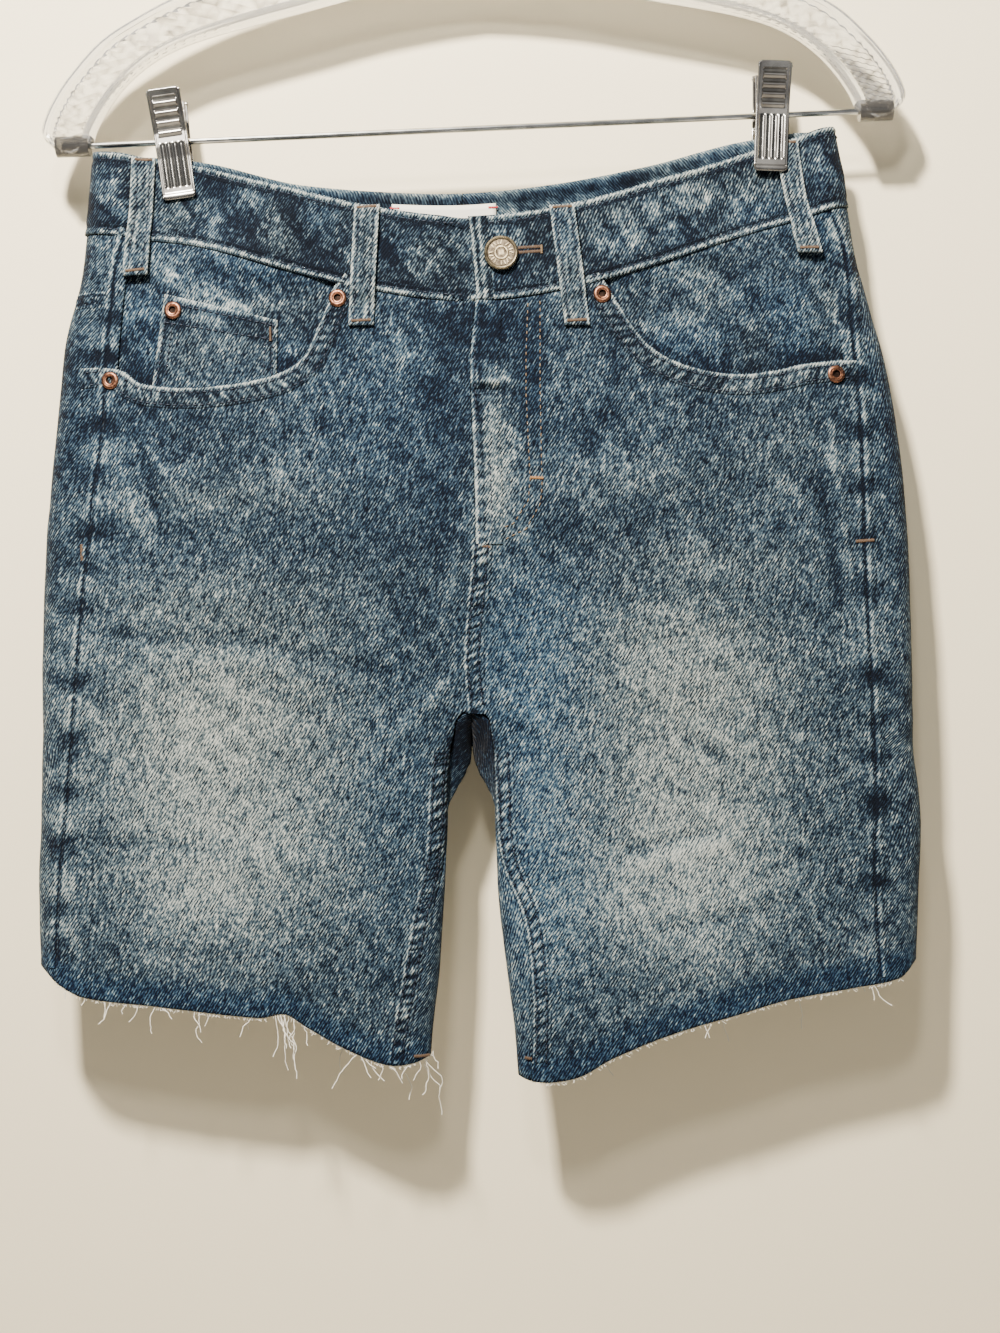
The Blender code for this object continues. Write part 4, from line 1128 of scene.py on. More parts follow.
panels = {}
for side in (LEFT, RIGHT):
    points = front_grid(side)
    x, z = points[..., 0], points[..., 2]
    wash, tint = washed(x, z, points[..., 1])
    # A painted shadow line just below the pocket hem's edge, with the cloth a little paler under the hem.
    hem_near = front_top(side, x) - z
    pocket = (np.abs(x) > 60) * (hem_near < 13)
    wash = wash - 0.10 * pocket * bell(hem_near - 13, 3) + 0.05 * pocket
    name = f"front_{SIDE_NAMES[side]}"
    shaped = dressed(points, side == RIGHT)
    made = cloth(name, shaped, PANEL, side == RIGHT, wash, tint, (denim, denim_inside))
    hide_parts(name)
    panels[name] = made
for side in (LEFT, RIGHT):
    points, notch = back_grid(side)
    name = f"back_{SIDE_NAMES[side]}"
    wash, tint = washed(points[..., 0], points[..., 2], points[..., 1])
    # Painted shade: the back panels go dark round the fork, between the legs under the crotch.
    under = bell(points[..., 0] + 1, 15) * bell(points[..., 2] + 492, 22) * (points[..., 1] < 12)
    wash = wash * (1 - under) - 0.2 * under
    shaped = dressed(points, side == LEFT)
    made = cloth(name, shaped, PANEL, side == LEFT, wash, tint, (denim, denim_inside), notch, points)
    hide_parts(name)
    panels[name] = made
    points = yoke_grid(side)
    name = f"yoke_{SIDE_NAMES[side]}"
    wash, tint = washed(points[..., 0], points[..., 2], points[..., 1])
    shaped = dressed(points, side == LEFT)
    made = cloth(name, shaped, PANEL, side == LEFT, wash, tint, (denim, denim_inside), None, points)
    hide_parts(name)
    panels[name] = made
print("panels:", sorted(panels))

# %% [markdown]
# ## Waistband
#
# The band is one long strip folded double, so it is thicker than a panel and stands proud of it.
# Its right-hand end laps over its left-hand end under the button. It is a little crinkled between
# its two rows of stitches, where the doubled cloth shrank on the thread.

# %% Waistband
BAND_ROWS = 34
BAND_ACROSS = {LEFT: 180, RIGHT: 150}
# Crinkles: place along the front band, share down it, lean, half-width, height
BAND_CRINKLES = (
    (-176, 0.5, 0.3, 3.0, 0.8),
    (-166, 0.5, -0.3, 2.5, -0.7),
    (-122, 0.45, 0.5, 5.0, 0.7),
    (-104, 0.5, 0.4, 3.5, -0.8),
    (-88, 0.5, 0.6, 4.5, 0.8),
    (-72, 0.55, 0.5, 3.0, -0.6),
    (-60, 0.5, -0.4, 3.5, 0.7),
    (-36, 0.5, -0.6, 3.0, -0.7),
    (-22, 0.5, -0.7, 3.5, 0.8),
    (-8, 0.5, -0.4, 2.5, -0.5),
    (62, 0.5, -0.4, 3.0, 0.7),
    (72, 0.45, -0.6, 3.0, -0.6),
    (84, 0.5, -0.5, 4.0, 0.8),
    (98, 0.5, 0.2, 3.0, -0.6),
    (112, 0.5, -0.4, 4.0, 0.7),
    (128, 0.5, 0.4, 3.0, -0.6),
    (140, 0.5, 0.3, 3.0, 0.6),
    (176, 0.5, -0.3, 2.5, 0.6),
)


def band_points(side, share):
    """One row of half the waistband: from its front end, round the side fold, to the back."""
    down = BAND_HEIGHT * share
    end = mix(*OVERLAP_END, share) if side == RIGHT else UNDERLAP

    def height(x):
        return band_top(x, FRONT) - down

    fold = settled(lambda z: outer_fold(side, z), height, side * 190.0)
    near = fold - side * EDGE_ROUNDING
    x = np.linspace(end, near, BAND_ACROSS[side])
    front = form_at(x, height(x), FRONT)
    distance = EDGE_ROUNDING * STRIP_TURNS[1:]
    x = fold - side * distance
    front_turn = on_form(side, x, height(x), FRONT, distance)
    distance = EDGE_ROUNDING * FOLD_TURNS
    x = fold - side * distance
    back_turn = on_form(side, x, band_top(x, BACK) - down, BACK, distance)
    x = np.linspace(near, centre(FORK[FRONT]) + side * SEAM_GAP / 2, 90)[1:]
    behind = on_form(side, x, band_top(x, BACK) - down, BACK)
    return np.concatenate([front, front_turn, back_turn, behind])


def band_share(x, z, y):
    """0 at the band's top edge, 1 at its bottom one."""
    face = np.where(y <= 0, band_top(x, FRONT), band_top(x, BACK))
    return (face - z) / BAND_HEIGHT


def band_relief(x, z, y):
    share = band_share(x, z, y)
    front = 0.0
    for place, middle, lean, wide, height in BAND_CRINKLES:
        front = front + height * bell(x - place - lean * (z - face_middle(x)), wide) * bell(
            share - middle, 0.30
        )
    front = front + 0.55 * mottle(x + (z - face_middle(x)) * 0.6, z, 8, 21, 2.4)
    behind = 0.55 * mottle(x - z * 0.6, z, 8, 22, 2.4)
    crinkle = mix(behind, front, front_share(y)) * bell(share - 0.5, 0.36)
    pressed = -0.5 * (bell(share - 0.09, 0.035) + bell(share - 0.91, 0.035))
    return (crinkle + pressed) * (1 - 0.7 * grip(x, z))


def face_middle(x):
    return band_top(x, FRONT) - BAND_HEIGHT / 2


def band_washed(x, z, y):
    share = band_share(x, z, y)
    rise = band_relief(x, z, y)
    # The crinkles in the colour: paler where they stand out, painted darker as shade in their troughs.
    wash = np.where(x < 0, 0.28, 0.34) + 0.12 * mottle(x, z, 22, 31, 0.6) + 0.20 * rise
    streak = mottle(x + (z - face_middle(x)) * 0.55, z, 3.4, 32, 6.0)
    wash = wash + 0.12 * streak * bell(share - 0.5, 0.45)
    lean = np.where(x < -90, -0.7, np.where(x < 0, 0.9, -0.8))
    inner = bell(share - 0.5, 0.42)
    lines = creased(x, z, 8, 34, lean, 3.0) + 0.7 * creased(x, z, 14, 37, -lean, 2.0)
    wash = wash + 0.34 * (lines - 0.35) * inner
    wash = wash - 0.26 * ramp(0.1, 0.5, mottle(x + 0.7 * z, z, 9, 36, 1.8)) * inner
    # Darker at the pressed rows beside each line of stitches, as less rubbed indigo and painted shade; the
    # folded edges rub pale.
    wash = wash - 0.16 * bell(share - 0.13, 0.05) - 0.12 * bell(share - 0.87, 0.05)
    wash = wash + 0.26 * bell(share - 0.0, 0.045) + 0.16 * bell(share - 1.0, 0.04)
    tint = 0.30 + 0.25 * mottle(x, z, 18, 33)
    return wash, tint


for side in (LEFT, RIGHT):
    points = np.stack([band_points(side, i / BAND_ROWS) for i in range(BAND_ROWS + 1)])
    flipped = side == LEFT
    x, y, z = points[..., 0], points[..., 1], points[..., 2]
    out = BAND_PROUD + band_relief(x, z, y)
    if side == LEFT:
        under = ramp(*TUCK, x) * (y < 0)
        out = mix(out, BAND_PROUD - (BAND + LAY_GAP + 0.4), under)
    shaped = points + grid_normals(points, flipped) * out[..., None]
    wash, tint = band_washed(x, z, y)
    name = f"waistband_{SIDE_NAMES[side]}"
    made = cloth(name, shaped, BAND, flipped, wash, tint, (denim, denim_inside), None, points)
    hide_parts(name)
    panels[name] = made
print("waistband columns:", points.shape[1])

# %% [markdown]
# ## Facings, fly, pockets, label and loops
#
# Everything else is a patch laid on the same form at its own distance in or out. One helper makes
# a grid of places, lifts it off the form and dresses it with the same folds as the cloth under it.

# %% Laid pieces
FACING, FLY_THICK, LABEL_THICK = 1.1, 1.2, 1.0
CALMED = 0.6  # how much of the folds a piece behind the front panel takes
DENIM_SIDES = (denim, denim_inside)


def patch(name, columns, rows, place, thickness, face, out, flipped, wash_at, materials, share=1.0):
    """A patch laid on the form. place(u, v) gives x and z; out(x, z) its outer face's distance."""
    u, v = np.meshgrid(np.linspace(0, 1, columns + 1), np.linspace(0, 1, rows + 1))
    x, z = place(u, v)
    points = form_at(x, z, face)
    lift = out(x, z)
    normals = grid_normals(points, flipped)
    rise = relief(x, z, points[..., 1]) * share + lift
    shaped = points + normals * rise[..., None]
    wash, tint = wash_at(x, z, u, v)
    return cloth(name, shaped, thickness, flipped, wash, tint, materials)


# Scuffed spots under the waistband: x, z, half-width, half-height
WORN_SPOTS = ((-122, -275, 13, 4.5), (-147, -262, 9, 4.0), (124, -271.5, 9, 3.5), (104, -266, 12, 5.0))

for side in (LEFT, RIGHT):
    def place(u, v, side=side):
        end = side * side_seam(side, mix(-243.0, -330.0, v)) - 0.3
        x = side * mix(57.0, end, u)
        return x, mix(band_seam(x, FRONT) + 1.5, -330.0, v)

    def facing_out(x, z, side=side):
        """Deep behind the front panel, and up to the band and the side seam that hold it."""
        top = (1 - ramp(1.0, 13.0, band_seam(x, FRONT) - z)) * ramp(64.0, 80.0, np.abs(x))
        end = 1 - ramp(0.0, 8.0, side * (side_seam(side, z) - x))
        return mix(-3.0, -0.7, np.maximum(top, end * (z > -303)))

    def wash_at(x, z, u, v, side=side):
        base = 0.31 if side == RIGHT else 0.29
        wash = base + 0.12 * mottle(x, z, 16, 41, 0.6) + 0.10 * mottle(x + z, z, 4, 42, 3.0)
        # A painted shadow runs along the pocket edge, where the facing goes in behind the front panel.
        wash = wash + 0.22 * (creased(x, z, 15, 48, 0.5) - 0.2) - 0.2 * bell(front_top(side, x) - z, 5)
        for cx, cz, wide, tall in WORN_SPOTS:
            drop = z - cz + 0.45 * (x - cx)
            wash = wash + 0.44 * bell(x - cx, wide) * bell(drop, tall)
            wash = wash - 0.75 * bell(x - cx - 1, wide * 0.6) * bell(drop + 0.5, 0.7)
        shadow = ramp(-300.0, -318.0, z) * 0.16
        return wash - shadow, 0.5 + 0.3 * mottle(x, z, 20, 43)

    name = f"facing_{SIDE_NAMES[side]}"
    made = patch(
        name, 70, 34, place, FACING, FRONT, facing_out, side == LEFT, wash_at, DENIM_SIDES, CALMED
    )
    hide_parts(name)

COIN_CORNERS = ((-149.5, -271.0), (-93.5, -286.0), (-157.5, -324.0), (-95.0, -324.0))


def coin_place(u, v):
    (ax, az), (bx, bz), (cx, cz), (dx, dz) = COIN_CORNERS
    x = mix(mix(ax, bx, u), mix(cx, dx, u), v)
    return x, mix(mix(az, bz, u), mix(cz, dz, u), v)


def coin_wash(x, z, u, v):
    wash = 0.34 + 0.12 * mottle(x, z, 14, 44) + 0.10 * mottle(x + z, z, 4, 45, 3.0)
    # Pale rubbed edges; the lines along the rows of stitches are darker, as less rubbed indigo and painted
    # shade.
    wash = wash + 0.46 * bell(v, 0.035) - 0.26 * bell(v - 0.08, 0.02) - 0.26 * bell(v - 0.25, 0.025)
    sides = np.minimum(u, 1 - u)
    wash = wash + 0.46 * bell(sides, 0.022) - 0.26 * bell(sides - 0.05, 0.02)
    wash = wash + 0.22 * mottle(x, z, 3.5, 47, 0.8) * bell(v - 0.16, 0.07)
    return wash, 0.35 + 0.2 * mottle(x, z, 20, 46)


made = patch(
    "coin_pocket", 42, 30, coin_place, FACING, FRONT, lambda x, z: -1.6, False, coin_wash, DENIM_SIDES,
    CALMED,
)  # fmt: skip
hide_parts("coin_pocket")


def fly_place(u, v):
    top = band_seam(u * 33.0, FRONT) - SEAM_GAP
    corner = np.maximum(u * 33.0 - 9.0, 0.0)
    bottom = -397.0 + 24.0 - np.sqrt(24.0**2 - 0.96 * corner**2)
    z = mix(top, bottom, v)
    return centre(z) + 0.6 + u * 33.0, z


made = patch(
    "fly", 20, 60, fly_place, FLY_THICK, FRONT, lambda x, z: -1.6, False,
    lambda x, z, u, v: (0.3, 0.5), DENIM_SIDES,
)  # fmt: skip
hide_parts("fly")

for side in (LEFT, RIGHT):
    def place(u, v, side=side):
        width = mix(126.0, 114.0, v)
        point = 18.0 * (1 - np.abs(2 * u - 1))
        return side * 101.0 + (u - 0.5) * width, -322.0 - (122.0 + point) * v

    def wash_at(x, z, u, v):
        wash, tint = washed(x, z, np.full_like(x, 20.0))
        edge = np.minimum(np.minimum(u, 1 - u), 1 - v) * 120
        top = v * 125
        # Pale rubbed edges and top; darker along the rows of stitches, as less rubbed indigo and painted
        # shade.
        wash = wash + 0.22 * bell(edge, 1.6) - 0.12 * bell(edge - 5, 2.5) + 0.22 * bell(top, 1.4)
        return wash - 0.10 * bell(top - 12, 2.0), tint

    name = f"back_pocket_{SIDE_NAMES[side]}"
    made = patch(
        name, 70, 72, place, PANEL, BACK, lambda x, z: PANEL + LAY_GAP, True, wash_at, DENIM_SIDES
    )
    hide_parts(name)

# %% Label and loops
white_tape, tree, shader = new_material("label_tape")
shader.inputs["Base Color"].default_value = (0.74, 0.70, 0.60, 1)
shader.inputs["Roughness"].default_value = 0.6


def label_place(u, v):
    x = mix(-38.0, 15.0, u)
    return x, band_top(x, BACK) - 6.0 - 26.0 * v


made = patch(
    "size_label", 24, 10, label_place, LABEL_THICK, BACK, lambda x, z: -1.9, True,
    lambda x, z, u, v: (0.5, 0.5), (white_tape,), 0.0,
)  # fmt: skip
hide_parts("size_label")

# Loops: name, face, place at the top and at the bottom, length
LOOPS = (
    ("loop_side_left", FRONT, -160.0, -163.5, 60.0),
    ("loop_front_left", FRONT, -48.0, -52.0, 59.5),
    ("loop_front_right", FRONT, 47.0, 53.5, 60.0),
    ("loop_side_right", FRONT, 159.5, 169.5, 60.0),
    ("loop_back", BACK, 0.0, 0.0, 60.0),
)
LOOP_WIDTH, LOOP_THICK, LOOP_LIFT = 12.2, 1.5, 0.9


def loop_wash(x, z, u, v):
    wash = 0.52 + 0.10 * mottle(x, z, 7, 51, 1.4) + 0.10 * mottle(x, z, 2.2, 52, 5.0)
    # Pale rubbed edges and top; darker along the two rows of stitches, as less rubbed indigo and painted
    # shade.
    wash = wash + 0.30 * (bell(u - 0.02, 0.07) + bell(u - 0.98, 0.07)) - 0.16 * bell(u - 0.5, 0.10)
    wash = wash - 0.22 * (bell(u - 0.20, 0.05) + bell(u - 0.80, 0.05)) + 0.2 * bell(v, 0.03)
    return wash, 0.25 + 0.2 * mottle(x, z, 12, 53)


for name, face, top, bottom, length in LOOPS:
    def place(u, v):
        middle = mix(top, bottom, v)
        return middle + (u - 0.5) * LOOP_WIDTH, band_top(middle, face) - 0.6 - length * v

    def out(x, z):
        seam = band_seam(x, face)
        past_band = 1 - ramp(seam - 7.0, seam - 2.0, z)
        down = np.clip((band_top(x, face) - z) / length, 0, 1)
        arch = LOOP_LIFT * np.sin(math.pi * down)
        lift = mix(BAND_PROUD + 2 * LAY_GAP + arch + 0.3, 2 * LAY_GAP, past_band) + LOOP_THICK
        middle = mix(top, bottom, down)
        edge = np.abs(np.abs(x - middle) - LOOP_WIDTH * 0.30)
        return lift - 0.35 * bell(edge, 0.9)

    made = patch(name, 20, 60, place, LOOP_THICK, face, out, face == BACK, loop_wash, (denim, denim_inside))
    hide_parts(name)
    under = "waistband_right" if top > 0 else "waistband_left"
print("loops:", len(LOOPS))

# %% [markdown]
# ## Button and rivets
#
# The tack button is turned: a raised rim round a sunken ring, with a plain disc in the middle. The
# ring carries a row of short raised strokes that say nothing. Each rivet is a small copper dome
# with a dark hollow where the cloth's nail comes through.

# %% Metal trim


def metal(name, color, roughness, tarnish, scale):
    """A metal with darker tarnish in patches."""
    made, tree, shader = new_material(name)
    noise = add_node(tree, "ShaderNodeTexNoise", {"Scale": scale, "Detail": 4.0})
    link(tree, add_node(tree, "ShaderNodeTexCoord").outputs["Object"], noise.inputs["Vector"])
    patchy = ramp_node(tree, noise.outputs["Fac"], ((0.38, tarnish), (0.62, color)))
    link(tree, patchy, shader.inputs["Base Color"])
    shader.inputs["Metallic"].default_value = 1.0
    shader.inputs["Roughness"].default_value = roughness
    return made


brass = metal("button_brass", (0.42, 0.35, 0.23), 0.42, (0.20, 0.16, 0.10), 500.0)
dark_brass = metal("button_ring", (0.16, 0.13, 0.09), 0.6, (0.07, 0.055, 0.04), 700.0)
copper = metal("rivet_copper", (0.28, 0.13, 0.075), 0.42, (0.09, 0.04, 0.028), 900.0)
dark_copper = metal("rivet_hollow", (0.030, 0.018, 0.014), 0.6, (0.012, 0.008, 0.006), 700.0)
steel = metal("jaw_steel", (0.36, 0.35, 0.33), 0.26, (0.22, 0.21, 0.20), 90.0)
bright_steel = metal("wire_steel", (0.66, 0.66, 0.64), 0.2, (0.45, 0.45, 0.43), 120.0)


def turned_form(profile, steps):
    """A profile of (radius, height) spun about the z axis."""
    form = bmesh.new()
    verts = [form.verts.new((radius * MM, 0, height * MM)) for radius, height in profile]
    edges = [form.edges.new(pair) for pair in zip(verts, verts[1:])]
    bmesh.ops.spin(
        form, geom=verts + edges, cent=(0, 0, 0), axis=(0, 0, 1), angle=math.tau, steps=steps
    )
    bmesh.ops.remove_doubles(form, verts=form.verts, dist=1e-6)
    bmesh.ops.recalc_face_normals(form, faces=form.faces)
    return form


def outward(x, z):
    near = form_at(np.array([x - 2, x + 2, x, x]), np.array([z, z, z - 2, z + 2]), FRONT)
    normal = np.cross(near[1] - near[0], near[3] - near[2])
    return Vector(normal / np.linalg.norm(normal))


def standing(form, x, z, out, turn_by=0.0):
    """Sets a turned form on the cloth at a place, so far out."""
    normal = outward(x, z)
    seat = Vector(form_at(np.array(x), np.array(z), FRONT)) + normal * out
    turn = normal.to_track_quat("Z", "Y").to_matrix().to_4x4()
    form.transform(Matrix.Translation(seat * MM) @ turn @ Matrix.Rotation(turn_by, 4, "Z"))


def finished(name, form, materials, replaced, angle=35):
    mesh = bpy.data.meshes.new(name)
    form.to_mesh(mesh)
    form.free()
    for material in materials:
        mesh.materials.append(material)
    mesh.shade_smooth()
    mesh.set_sharp_from_angle(angle=math.radians(angle))
    made = bpy.data.objects.new(name, mesh)
    bpy.context.scene.collection.objects.link(made)
    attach(made, "root")
    if replaced:
        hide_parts(*replaced)
    return made


BUTTON_PLACE = (17.0, -256.5)
DASH, BUTTON_BOSS = (0.55, 1.9, 0.7), (2.4, 2.4, 0.4)  # sizes of a raised dash and of the middle


def in_mm(size):
    return Matrix.Diagonal((*(length * MM for length in size), 1))


BUTTON_RIM = (
    (0, 2.5), (2.3, 2.5), (2.7, 2.9), (3.3, 2.9), (3.7, 2.45), (6.5, 2.4), (6.9, 2.9),
    (7.5, 3.1), (8.0, 2.8), (8.3, 2.2), (8.3, 0.8), (6.5, 0.0), (0, 0.0),
)  # fmt: skip
button = turned_form(BUTTON_RIM, 48)
for face in button.faces:
    middle = face.calc_center_median() / MM
    radius = math.hypot(middle.x, middle.y)
    if 3.6 < radius < 6.7 and middle.z > 2 or radius < 2.2 and middle.z > 2:
        face.material_index = 1
for i in range(20):
    if i % 5 == 4:
        continue
    place = Matrix.Rotation(math.tau * i / 20, 4, "Z") @ Matrix.Translation((0, 5.1 * MM, 2.5 * MM))
    lean = Matrix.Rotation(math.radians((-18, 0, 14)[i % 3]), 4, "Z")
    bmesh.ops.create_cube(button, size=1, matrix=place @ lean @ in_mm(DASH))
seat = Matrix.Translation((0, 0, 2.6 * MM))
bmesh.ops.create_cube(button, size=1, matrix=seat @ in_mm(BUTTON_BOSS))
standing(button, *BUTTON_PLACE, BAND_PROUD + LAY_GAP)
finished("button_turned", button, (brass, dark_brass), ("button",))

RIVETS = (
    ("rivet_pocket_left_inner", -63.3, -276.5, 0.0),
    ("rivet_pocket_left_outer", -176.8, -313.5, 0.0),
    ("rivet_coin", -145.3, -279.5, 1.6),
    ("rivet_pocket_right_inner", 66.1, -276.8, 0.0),
    ("rivet_pocket_right_outer", 181.0, -317.0, 0.0),
)
RIVET_RIM = (
    (0, 0.4), (1.5, 0.4), (1.8, 1.5), (2.3, 1.6), (2.7, 1.2), (3.2, 1.3), (3.9, 1.1),
    (4.3, 0.7), (4.3, 0.0), (0, 0),
)  # fmt: skip
for name, x, z, below in RIVETS:
    rivet = turned_form(RIVET_RIM, 32)
    for face in rivet.faces:
        middle = face.calc_center_median() / MM
        if math.hypot(middle.x, middle.y) < 1.75 and middle.z > 0.2:
            face.material_index = 1
    standing(rivet, x, z, LAY_GAP - below + 0.2)
    finished(f"{name}_turned", rivet, (copper, dark_copper), (name,))
print("turned pieces:", 1 + len(RIVETS))

# %% [markdown]
# ## Hanger
#
# The moulded arch is clear plastic with a thick rounded rim and a web of long pressed diamonds
# between, which catch the light; glints and shade on the diamonds are also painted into its colour
# at random. The rod, hook and end lugs keep their solids and get a bright finish. Each clip is a
# pair of pressed plates: louvres on the handle, ribs down to the mouth.

# %% Arch
HANGER_TIP, ROD_DROP = math.radians(1.5), 189.0
TIPPED = Matrix.Rotation(-HANGER_TIP, 4, "Y")
clear, tree, shader = new_material("moulded_clear")
shader.inputs["Base Color"].default_value = (0.97, 0.98, 0.98, 1)
shader.inputs["Roughness"].default_value = 0.04
shader.inputs["IOR"].default_value = 1.49
shader.inputs["Transmission Weight"].default_value = 0.86
# Painted glints and shade: each point of the diamonds gets a random grey to white, the rim white.
facet = add_node(tree, "ShaderNodeAttribute", attribute_name="facet_glint").outputs["Fac"]
GLINTS = ((0.0, (0.20, 0.195, 0.19)), (0.35, (0.70, 0.69, 0.67)), (0.7, (0.97, 0.97, 0.96)))
glints = ramp_node(tree, facet, GLINTS)
link(tree, glints, shader.inputs["Base Color"])
chance = np.random.default_rng(7)
# The arch by its stations: upper x and z, lower x and z
ARCH = (
    (0, -84.0, 0, -114.0),
    (22, -85.5, 22, -116.0),
    (60, -92.0, 52, -120.4),
    (90, -99.0, 80, -126.5),
    (120, -107.0, 106, -132.0),
    (145, -116.0, 128, -137.0),
    (165, -125.5, 146, -142.5),
    (185, -137.5, 160, -149.5),
    (201, -154.0, 172, -159.0),
    (210, -166.5, 181, -169.5),
    (215, -177.0, 187.5, -180.0),
    (215.5, -184.0, 192, -190.0),
    (209, -191.0, 200, -193.5),
)
ARCH_STATIONS = 170
# Across the arch: share from upper to lower edge, half-depth, whether its diamonds stand up
ARCH_SECTION = (
    (0.0, 0.0, 0), (0.02, 2.4, 0), (0.06, 3.9, 0), (0.12, 4.4, 0), (0.18, 4.1, 0), (0.22, 3.0, 0),
    (0.25, 2.2, 0), (0.35, 2.2, 1), (0.45, 2.2, 0), (0.55, 2.2, 1), (0.65, 2.2, 0), (0.75, 2.2, 1),
    (0.78, 3.0, 0), (0.82, 4.1, 0), (0.88, 4.4, 0), (0.94, 3.9, 0), (0.98, 2.4, 0), (1.0, 0.0, 0),
)  # fmt: skip


def arch_point(distance, share):
    station = [(i, *row) for i, row in enumerate(ARCH)]
    at = abs(distance) * (len(ARCH) - 1)
    upper_x, upper_z, lower_x, lower_z = (float(read(station, at, k)) for k in (1, 2, 3, 4))
    sign = math.copysign(1, distance)
    return sign * mix(upper_x, lower_x, share), mix(upper_z, lower_z, share)


arch = bmesh.new()
facet_glint = arch.verts.layers.float.new("facet_glint")
sides = len(ARCH_SECTION) - 1
bmesh.ops.create_grid(arch, x_segments=ARCH_STATIONS, y_segments=2 * sides, size=0.5)
for vert in arch.verts:
    station = round((vert.co.x + 0.5) * ARCH_STATIONS)
    row = round((0.5 - vert.co.y) * 2 * sides)
    front = row <= sides
    share, half, raised = ARCH_SECTION[row if front else 2 * sides - row]
    x, z = arch_point(2 * station / ARCH_STATIONS - 1, share)
    vert[facet_glint] = 1.0
    if 0.24 < share < 0.76:
        vert[facet_glint] = chance.uniform(0.0, 1.0)
        standing_up = (station + (row if front else 2 * sides - row)) % 2 == 0
        half += 2.0 if standing_up else -1.2
    vert.co = Vector((x, -half if front else half, z)) * MM
bmesh.ops.remove_doubles(arch, verts=arch.verts, dist=1e-6)
ends = [edge for edge in arch.edges if edge.is_boundary]
bmesh.ops.holes_fill(arch, edges=ends, sides=0)
bmesh.ops.recalc_face_normals(arch, faces=arch.faces)
arch.transform(TIPPED)
made = finished("arch_moulded", arch, (clear,), ("hanger_arch",), 20)
for name in ("hook", "rod", "clip_left_spring", "clip_right_spring"):
    nodes[name].data.materials.clear()
    nodes[name].data.materials.append(bright_steel)
for name in ("lug_left", "lug_right"):
    nodes[name].data.materials.clear()
    nodes[name].data.materials.append(clear)
print("arch faces:", len(made.data.polygons))

# %% Clips
CLIP_HALF, JAW_THICK = 8.25, 1.2
# Clips: name, place on the rod, lean, how far the front jaw is pushed out by what it grips
CLIPS = (("clip_left", -145.8, math.radians(7.0), 0.0), ("clip_right", 153.0, math.radians(-3.2), 2.6))
# The louvres' slots and the mouth's channel ends are painted near black, as shade.
slot_shade = metal("jaw_slot_shade", (0.10, 0.10, 0.095), 0.5, (0.04, 0.04, 0.04), 90.0)


def jaw_depth(height, push):
    """Distance of a jaw's inner face from the middle plane at a height about the rod."""
    tip = 2.6 + BAND_PROUD + 0.5 + push
    pivot = max(4.6, tip)
    return float(np.interp(height, (-30.0, -9.0, -3.5, 3.5, 23.5), (tip, tip, pivot, pivot, 10.5)))


def pressed(across, height):
    """How far the plate's pressing stands out, and whether the place is a slot painted dark as shade."""
    if 1.5 < height < 20.0 and abs(across) < 5.8:
        phase = (height - 1.5) % 4.5
        return (1.1 * math.sin(math.pi * phase / 3.2), False) if phase < 3.2 else (-0.3, True)
    if -23.5 < height < -2.0 and abs(across) < 6.6:
        channel = math.cos(math.pi * across / 1.55)
        return 0.45 * channel, channel < -0.6 and height < -19.5
    if height < -26.5:
        return 0.5 * math.sin(math.pi * (-26.5 - height) / 3.5), False
    if abs(across) > 7.3:
        return -0.5, False
    return 0.0, False


for name, place, lean, front_push in CLIPS:
    for face, jaw, push in ((FRONT, "front_jaw", front_push), (BACK, "rear_jaw", 0.0)):
        plate = bmesh.new()
        bmesh.ops.create_grid(plate, x_segments=42, y_segments=106, size=0.5)
        slots = set()
        for vert in plate.verts:
            across, height = vert.co.x * 2 * CLIP_HALF, (vert.co.y + 0.5) * 53.5 - 30.0
            out, dark = pressed(across, height)
            if dark:
                slots.add(vert)
            corner = max(abs(across) - 6.0, 0) ** 2 / 5.0 * (1 if height > 21 or height < -28 else 0)
            depth = jaw_depth(height, push) + JAW_THICK + max(out, -0.4)
            vert.co = Vector((across, face * depth, height - math.copysign(corner, height))) * MM
        for item in plate.faces:
            if all(vert in slots for vert in item.verts):
                item.material_index = 1
        if face == BACK:
            bmesh.ops.reverse_faces(plate, faces=plate.faces)
        rod_point = TIPPED @ Vector((0, 0, -ROD_DROP * MM))
        rod_way = Vector((math.cos(HANGER_TIP), 0, math.sin(HANGER_TIP)))
        pivot = rod_point + rod_way * ((place * MM - rod_point.x) / rod_way.x)
        plate.transform(Matrix.Translation(pivot) @ Matrix.Rotation(-lean, 4, "Y"))
        made = finished(f"{name}_{jaw}_plate", plate, (steel, slot_shade), (f"{name}_{jaw}",))
        wall = made.modifiers.new("plate", "SOLIDIFY")
        wall.thickness = 0.9 * MM
        wall.offset = -1
print("clips:", len(CLIPS))

# %% [markdown]
# ## Seams and hems
#
# Cut pieces meet in folded, doubled seams. Each one is a narrow strip of finer cloth laid along its
# line, with a rounded edge, a shallow trough under each row of stitches and small puckers where the
# thread drew the cloth up. The puckers rub pale; the troughs are darker, as less rubbed indigo and
# as painted shade.

# %% Strips along the seams
STEP = 0.8


def puckers(s, seed, size=3.0):
    """Bumps along a seam that its thread drew up, from -1 to 1: even ones that wander."""
    drawn = np.sin(2 * math.pi * s / (1.5 * size) + 2.4 * mottle(s, 0 * s, size * 3, seed + 2))
    return 0.6 * drawn + 0.4 * mottle(s, 0 * s, size, seed) + 0.4 * mottle(s, 0 * s, size * 2.3, seed + 1)


